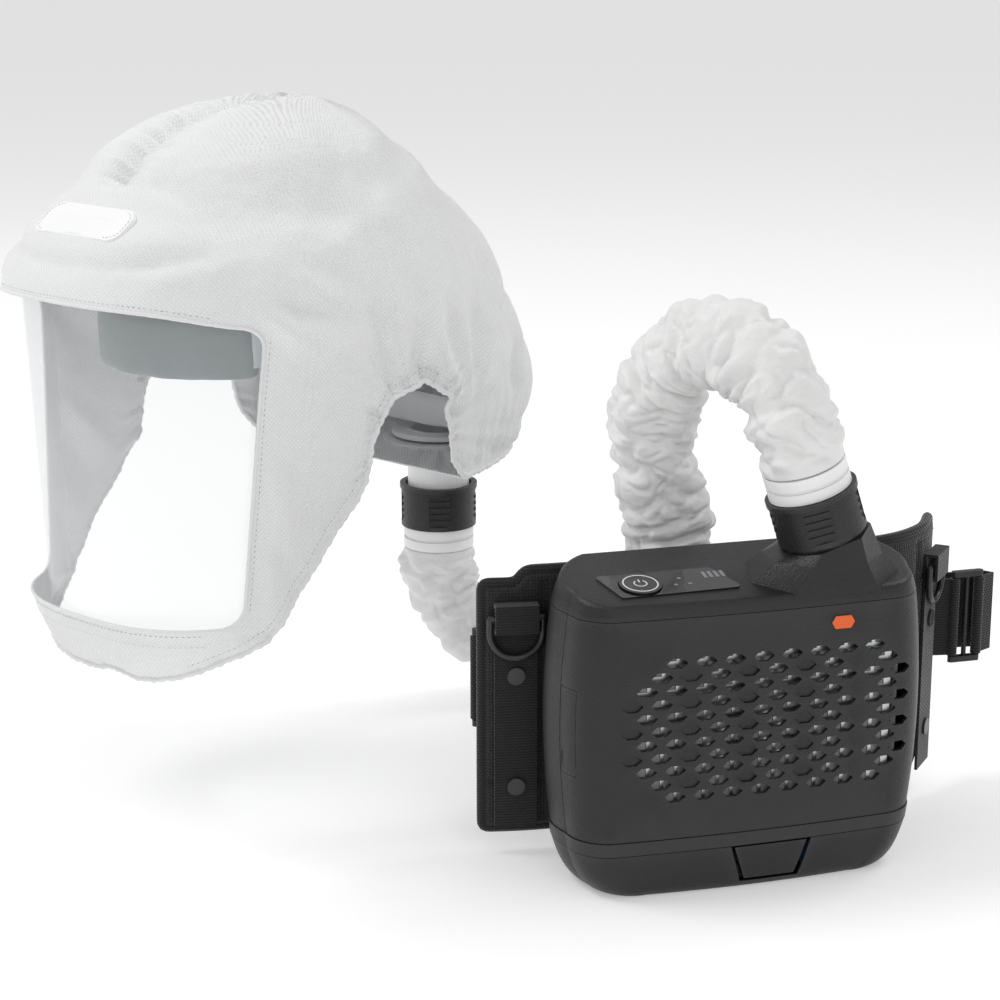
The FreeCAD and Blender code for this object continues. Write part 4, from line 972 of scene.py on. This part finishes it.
def hose_line():
    """The hose's centreline, from the blower's cuff to the hood's."""
    start = [spout_point(CUFF_REACH), spout_point(CUFF_REACH + 28)]
    route = np.vstack([place(start), place(HOSE_LOOP), np.array(HOSE_FAR) * MM])
    curve = bpy.data.curves.new("hose_route", "CURVE")
    curve.dimensions = "3D"
    spline = curve.splines.new("NURBS")
    spline.points.add(len(route) - 1)
    for control, spot in zip(spline.points, route):
        control.co = (*spot, 1)
    spline.order_u = 3
    spline.use_endpoint_u = True
    spline.resolution_u = 26
    holder = bpy.data.objects.new("hose_route", curve)
    bpy.context.scene.collection.objects.link(holder)
    line = bpy.data.meshes.new_from_object(holder)
    points = np.array([v.co[:] for v in line.vertices])
    bpy.data.objects.remove(holder)
    return points


def gathers(s, a):
    """Crossing rings of gathered cloth at places s along and a round the sleeve."""
    count = 26
    lift = np.zeros_like(s)
    for n in range(count):
        pitch = rng.uniform(0.011, 0.034)
        lean = rng.integers(-2, 3)
        phase = rng.uniform(0, 6.28)
        reach = rng.uniform(0.5, 1.0)
        where = 0.5 + 0.5 * np.sin(s * rng.uniform(15, 70) + a * rng.integers(0, 3) + rng.uniform(0, 6.28))
        puff = np.abs(np.sin(s * math.pi / pitch + lean * a * 0.5 + phase + 0.9 * np.sin(a * 2 + n)))
        lift += reach * where ** 2 * puff ** 0.6
    lift = lift / count * 6.5
    return lift - lift.mean()


def crumples(s, a):
    """Puffed cloth between sharp creases, and a finer crumple over it."""
    spots = np.stack([np.cos(a).ravel() * 0.022, np.sin(a).ravel() * 0.022, s.ravel()], axis=1)
    warp = noise_at(spots, 30, 12, 2)
    stretch = spots * np.array([0.75, 0.75, 1.75]) + np.outer(warp * 0.006, (1, 0.5, 1))
    billow = np.abs(noise_at(stretch, 40, 9, 1))
    crease = np.abs(noise_at(stretch * np.array([1.4, 1.4, 0.8]), 66, 15, 1))
    puffs = 14.0 * (np.clip(billow, 0, 0.3) - 0.15) + 7.5 * (np.clip(crease, 0, 0.26) - 0.12)
    return (0.9 * noise_at(spots, 60, 4, 2) + puffs).reshape(s.shape)


def make_hose():
    """Crumpled sleeve gathered over the ribbed hose."""
    line = even_path(hose_line(), 0.0011)
    count, sides = len(line), 120
    angle = np.linspace(0, 2 * math.pi, sides, endpoint=False)
    s, a = np.meshgrid(np.linspace(0, 1, count) * HOSE_LENGTH, angle, indexing="ij")
    lift = 4.0 * gathers(s, a) + crumples(s, a)
    from_end = np.minimum(s, HOSE_LENGTH - s)
    ends = smooth_step(s, 0, 0.012) * smooth_step(HOSE_LENGTH - s, 0, 0.012)
    radii = np.clip(0.0228 + ends * lift * MM - np.exp(-from_end / 0.006) * 0.0004, 0.0180, 0.0296)
    hose = tube("hose_sleeve", line, radii, sides)
    modify(hose, "SUBSURF", levels=1)
    lying = coords(hose)
    lying[:, 2] = np.maximum(lying[:, 2], FLOOR_Z + 0.0003)
    set_coords(hose, lying)
    settle(hose, "hose_sleeve", "breathing_hose")


# ================= brow pad, duct =================

def make_brow_pad():
    """Padded foam bar across the brow, rounded at its ends, gripping the headband."""
    count, sides = 90, 40
    band_x, band_y, band_middle = 80, 98, 4
    widest = math.asin(64 / band_x)
    verts = []
    for t in np.linspace(-1, 1, count):
        turn = t * widest
        end = math.sqrt(max(0.02, 1 - max(0.0, (abs(t) - 0.88) / 0.12) ** 2))
        centre = np.array([(band_x - 2) * math.sin(turn), band_middle - (band_y - 2) * math.cos(turn), -5.0])
        outward = unit(np.array([math.sin(turn) / band_x, -math.cos(turn) / band_y, 0]))
        for a in 2 * math.pi * np.arange(sides) / sides:
            c, s = math.cos(a), math.sin(a)
            depth = 5.4 * math.copysign(abs(c) ** 0.62, c) * end
            rise = 16.8 * math.copysign(abs(s) ** 0.5, s) * (0.75 + 0.25 * end)
            verts.append(centre + outward * depth + np.array([0, 0, rise]))
    verts = np.array(verts)
    faces = grid_faces(count, sides)
    faces.append(list(range(sides - 1, -1, -1)))
    faces.append([(count - 1) * sides + j for j in range(sides)])
    pad = mesh_object("brow_pad_foam", verts * MM, faces)
    push(pad, 60, 8, 0.0006)
    modify(pad, "SUBSURF", levels=1)
    settle(pad, "brow_foam", "brow_pad")


def make_duct():
    """The film air duct: its CAD solid remeshed, rounded and slightly uneven."""
    duct = bpy.data.objects.new("air_duct_soft", frame["nodes"]["air_duct"].data.copy())
    bpy.context.scene.collection.objects.link(duct)
    modify(duct, "REMESH", mode="VOXEL", voxel_size=0.003)
    modify(duct, "SMOOTH", factor=0.5, iterations=8)
    push(duct, 45, 5, 0.0012)
    modify(duct, "SUBSURF", levels=1)
    settle(duct, "air_duct_film", "air_duct")


# ================= belt =================

PAD_LINE = [(-129, 62), (-104, 57.5), (-70, 55.5), (0, 55), (70, 55.5), (112, 60), (140, 76), (157, 100)]


def smooth_plan(points, count):
    """Smooth line through plan points: count even points, and the distance along it at each."""
    p = np.array(points, float)
    p = np.vstack([2 * p[0] - p[1], p, 2 * p[-1] - p[-2]])
    out = []
    for k in range(len(p) - 3):
        out += [through(*p[k:k + 4], t) for t in np.linspace(0, 1, 30, endpoint=False)]
    out = np.array(out + [p[-2]])
    run = run_length(out)
    at = np.linspace(0, run[-1], count)
    return points_at(out, run, at), at


def make_belt_pad():
    """Padded belt: crowned mesh panels, sewn channels and a bound edge."""
    columns, rows = 150, 76
    plan, run = smooth_plan(PAD_LINE, columns)
    ahead = unit(np.gradient(plan, axis=0))
    front = np.stack([ahead[:, 1], -ahead[:, 0]], axis=1)
    low = np.interp(plan[:, 0], [-200, 133, 139, 153, 158, 200], [16, 16, 22, 41, 44, 50])
    high = np.interp(plan[:, 0], [-200, -110, -106, 200], [159, 159, 166, 166])
    height = low[:, None] + (high - low)[:, None] * np.linspace(0, 1, rows)
    edge = np.minimum(np.minimum(height - low[:, None], high[:, None] - height),
                      np.minimum(run, run[-1] - run)[:, None])
    round_off = np.sqrt(np.clip(1 - (1 - np.clip(edge / 5, 0, 1)) ** 2, 0, 1))
    channels = bell(height - 44, 1.6) + bell(height - 138, 1.6)
    upright = bell(run - 34, 1.6) + bell(run - run[-1] + 38, 1.6)
    seams = np.clip(channels + upright[:, None], 0, 1) * (edge > 4)
    thick = 1.1 + 2.75 * round_off - 1.7 * seams
    both = [plan[:, None] + front[:, None] * face * thick[:, :, None] for face in (1, -1)]
    verts = np.vstack([np.dstack([face, height]).reshape(-1, 3) for face in both])
    flat = np.tile(np.dstack([np.repeat(run[:, None], rows, axis=1), height]).reshape(-1, 2) * MM, (2, 1))
    count = columns * rows
    faces = []
    for a, b, c, d in grid_faces(columns, rows, ring=False):
        faces.append([a, d, c, b])
        faces.append([v + count for v in (b, c, d, a)])
    border = ([i * rows for i in range(columns)] + [(columns - 1) * rows + j for j in range(1, rows)]
              + [i * rows + rows - 1 for i in range(columns - 2, -1, -1)] + list(range(rows - 2, 0, -1)))
    faces += [[a, a + count, b + count, b] for a, b in zip(border, border[1:] + border[:1])]
    points = place(verts)
    pad = mesh_object("belt_pad_cloth", points, faces, flat)
    settle(pad, "belt_fabric", "belt_pad")
    middle = np.array([(points[v] + points[v + count]) / 2 for v in border + border[:1]])
    middle = smooth_line(even_path(middle, 0.002), 3, True)
    settle(tube("belt_binding", middle, 0.0031, 12, True), "webbing")
    lines = []
    for level in (22.5, 159.5):
        inside = (high - 4 > level) & (low + 4 < level)
        row = np.insert(plan + front * 3.9, 2, level, axis=1)[inside]
        lines.append((place(row), place(np.insert(front, 2, 0, axis=1)[inside] / MM) - BLOWER_AT))
    stitches("belt_stitches", lines, "webbing", 0.0036, 0.0026, 0.0006)


# ================= blower details =================

def top_plane(node):
    """Middle and facing of a node's highest flat face."""
    mesh = frame["nodes"][node].data
    best = max(mesh.polygons, key=lambda f: f.area * max(0.0, f.normal.z) ** 4)
    same = [f for f in mesh.polygons if f.normal.dot(best.normal) > 0.999
            and abs((f.center - best.center).dot(best.normal)) < 0.0002]
    area = sum(f.area for f in same)
    middle = sum((f.center * f.area for f in same), Vector()) / area
    return np.array(middle), np.array(best.normal)


def power_mark():
    """Generic power symbol on the button: an open ring with an upright bar, and a thin ring round it."""
    middle, up = top_plane("power_button")
    across = unit(place([(1, 0, 0)])[0] - BLOWER_AT)
    across = unit(across - up * np.dot(across, up))
    away = np.cross(up, across)
    base = middle + up * 0.00012

    def arc(radius, start, stop, count):
        a = np.radians(np.linspace(start, stop, count))
        return base + radius * (np.cos(a)[:, None] * across + np.sin(a)[:, None] * away)

    marks = [("power_ring", arc(0.0093, 0, 360, 90), 0.00045, True),
             ("power_arc", arc(0.0034, 125, 415, 50), 0.0004, False),
             ("power_bar", base + np.linspace(0.0012, 0.0044, 8)[:, None] * away, 0.0004, False)]
    for name, line, radius, closed in marks:
        facing = np.tile(up, (len(line) - (1 if closed else 0), 1))
        mark = tube(name, line, radius, 8, closed, flat=(facing, 0.35))
        settle(mark, "lamp", body="power_button")
        paint(mark, "print_white")


# ================= studio =================

FLOOR_HALF = 60.0
LOOK_AT = (0.13, 0.06, -0.1)


def studio():
    """Pale floor and soft lamps."""
    scene = bpy.context.scene
    scene.view_settings.view_transform = "Standard"
    scene.world = bpy.data.worlds.new("studio")
    scene.world.use_nodes = True
    background = scene.world.node_tree.nodes["Background"]
    background.inputs["Color"].default_value = (1, 1, 1, 1)
    background.inputs["Strength"].default_value = 0.55
    corners = [(x * FLOOR_HALF, y * FLOOR_HALF, FLOOR_Z) for x, y in ((-1, -1), (1, -1), (1, 1), (-1, 1))]
    floor = mesh_object("studio_floor", corners, [[0, 1, 2, 3]])
    paper = Nodes("studio_floor", (0.8, 0.8, 0.8), 0.9, Emission_Color=(1, 1, 1, 1), Emission_Strength=0.3)
    floor.data.materials.append(paper.mat)
    for name, at, power, width in (("key", (-1.0, -0.9, 1.9), 23, 0.9), ("fill", (1.9, -1.0, 1.0), 6, 1.2),
                                   ("back", (0.8, 1.6, 1.9), 14, 1.0), ("side", (-1.9, 0.5, 0.9), 2, 1.2)):
        lamp = bpy.data.lights.new(name, "AREA")
        lamp.energy = power
        lamp.size = width
        holder = bpy.data.objects.new(name, lamp)
        holder.location = at
        aim = Vector(LOOK_AT) - Vector(at)
        holder.rotation_euler = aim.to_track_quat("-Z", "Y").to_euler()
        bpy.context.scene.collection.objects.link(holder)


def camera():
    """Camera from the wearer's front left, a little above."""
    azimuth, elevation, distance = math.radians(42), math.radians(14.8), 1.350
    target = Vector((0.1348, 0.0715, -0.104))
    level = math.cos(elevation)
    back = Vector((math.sin(azimuth) * level, -math.cos(azimuth) * level, math.sin(elevation)))
    lens = bpy.data.cameras.new("camera")
    lens.lens = 82.62
    lens.sensor_width = 36
    lens.shift_x = -0.005
    holder = bpy.data.objects.new("camera", lens)
    holder.location = target + back * distance
    holder.rotation_euler = (-back).to_track_quat("-Z", "Y").to_euler()
    bpy.context.scene.collection.objects.link(holder)
    bpy.context.scene.camera = holder


camera()
studio()
dress_cad()
make_hose()
surface = make_hood()
hood_tree = tree_of(surface)
hem_roll(surface)
nape_floor(surface)
label(hood_tree)
hood_stitches(hood_tree)
bpy.data.objects.remove(surface)
make_brow_pad()
make_duct()
make_belt_pad()
power_mark()
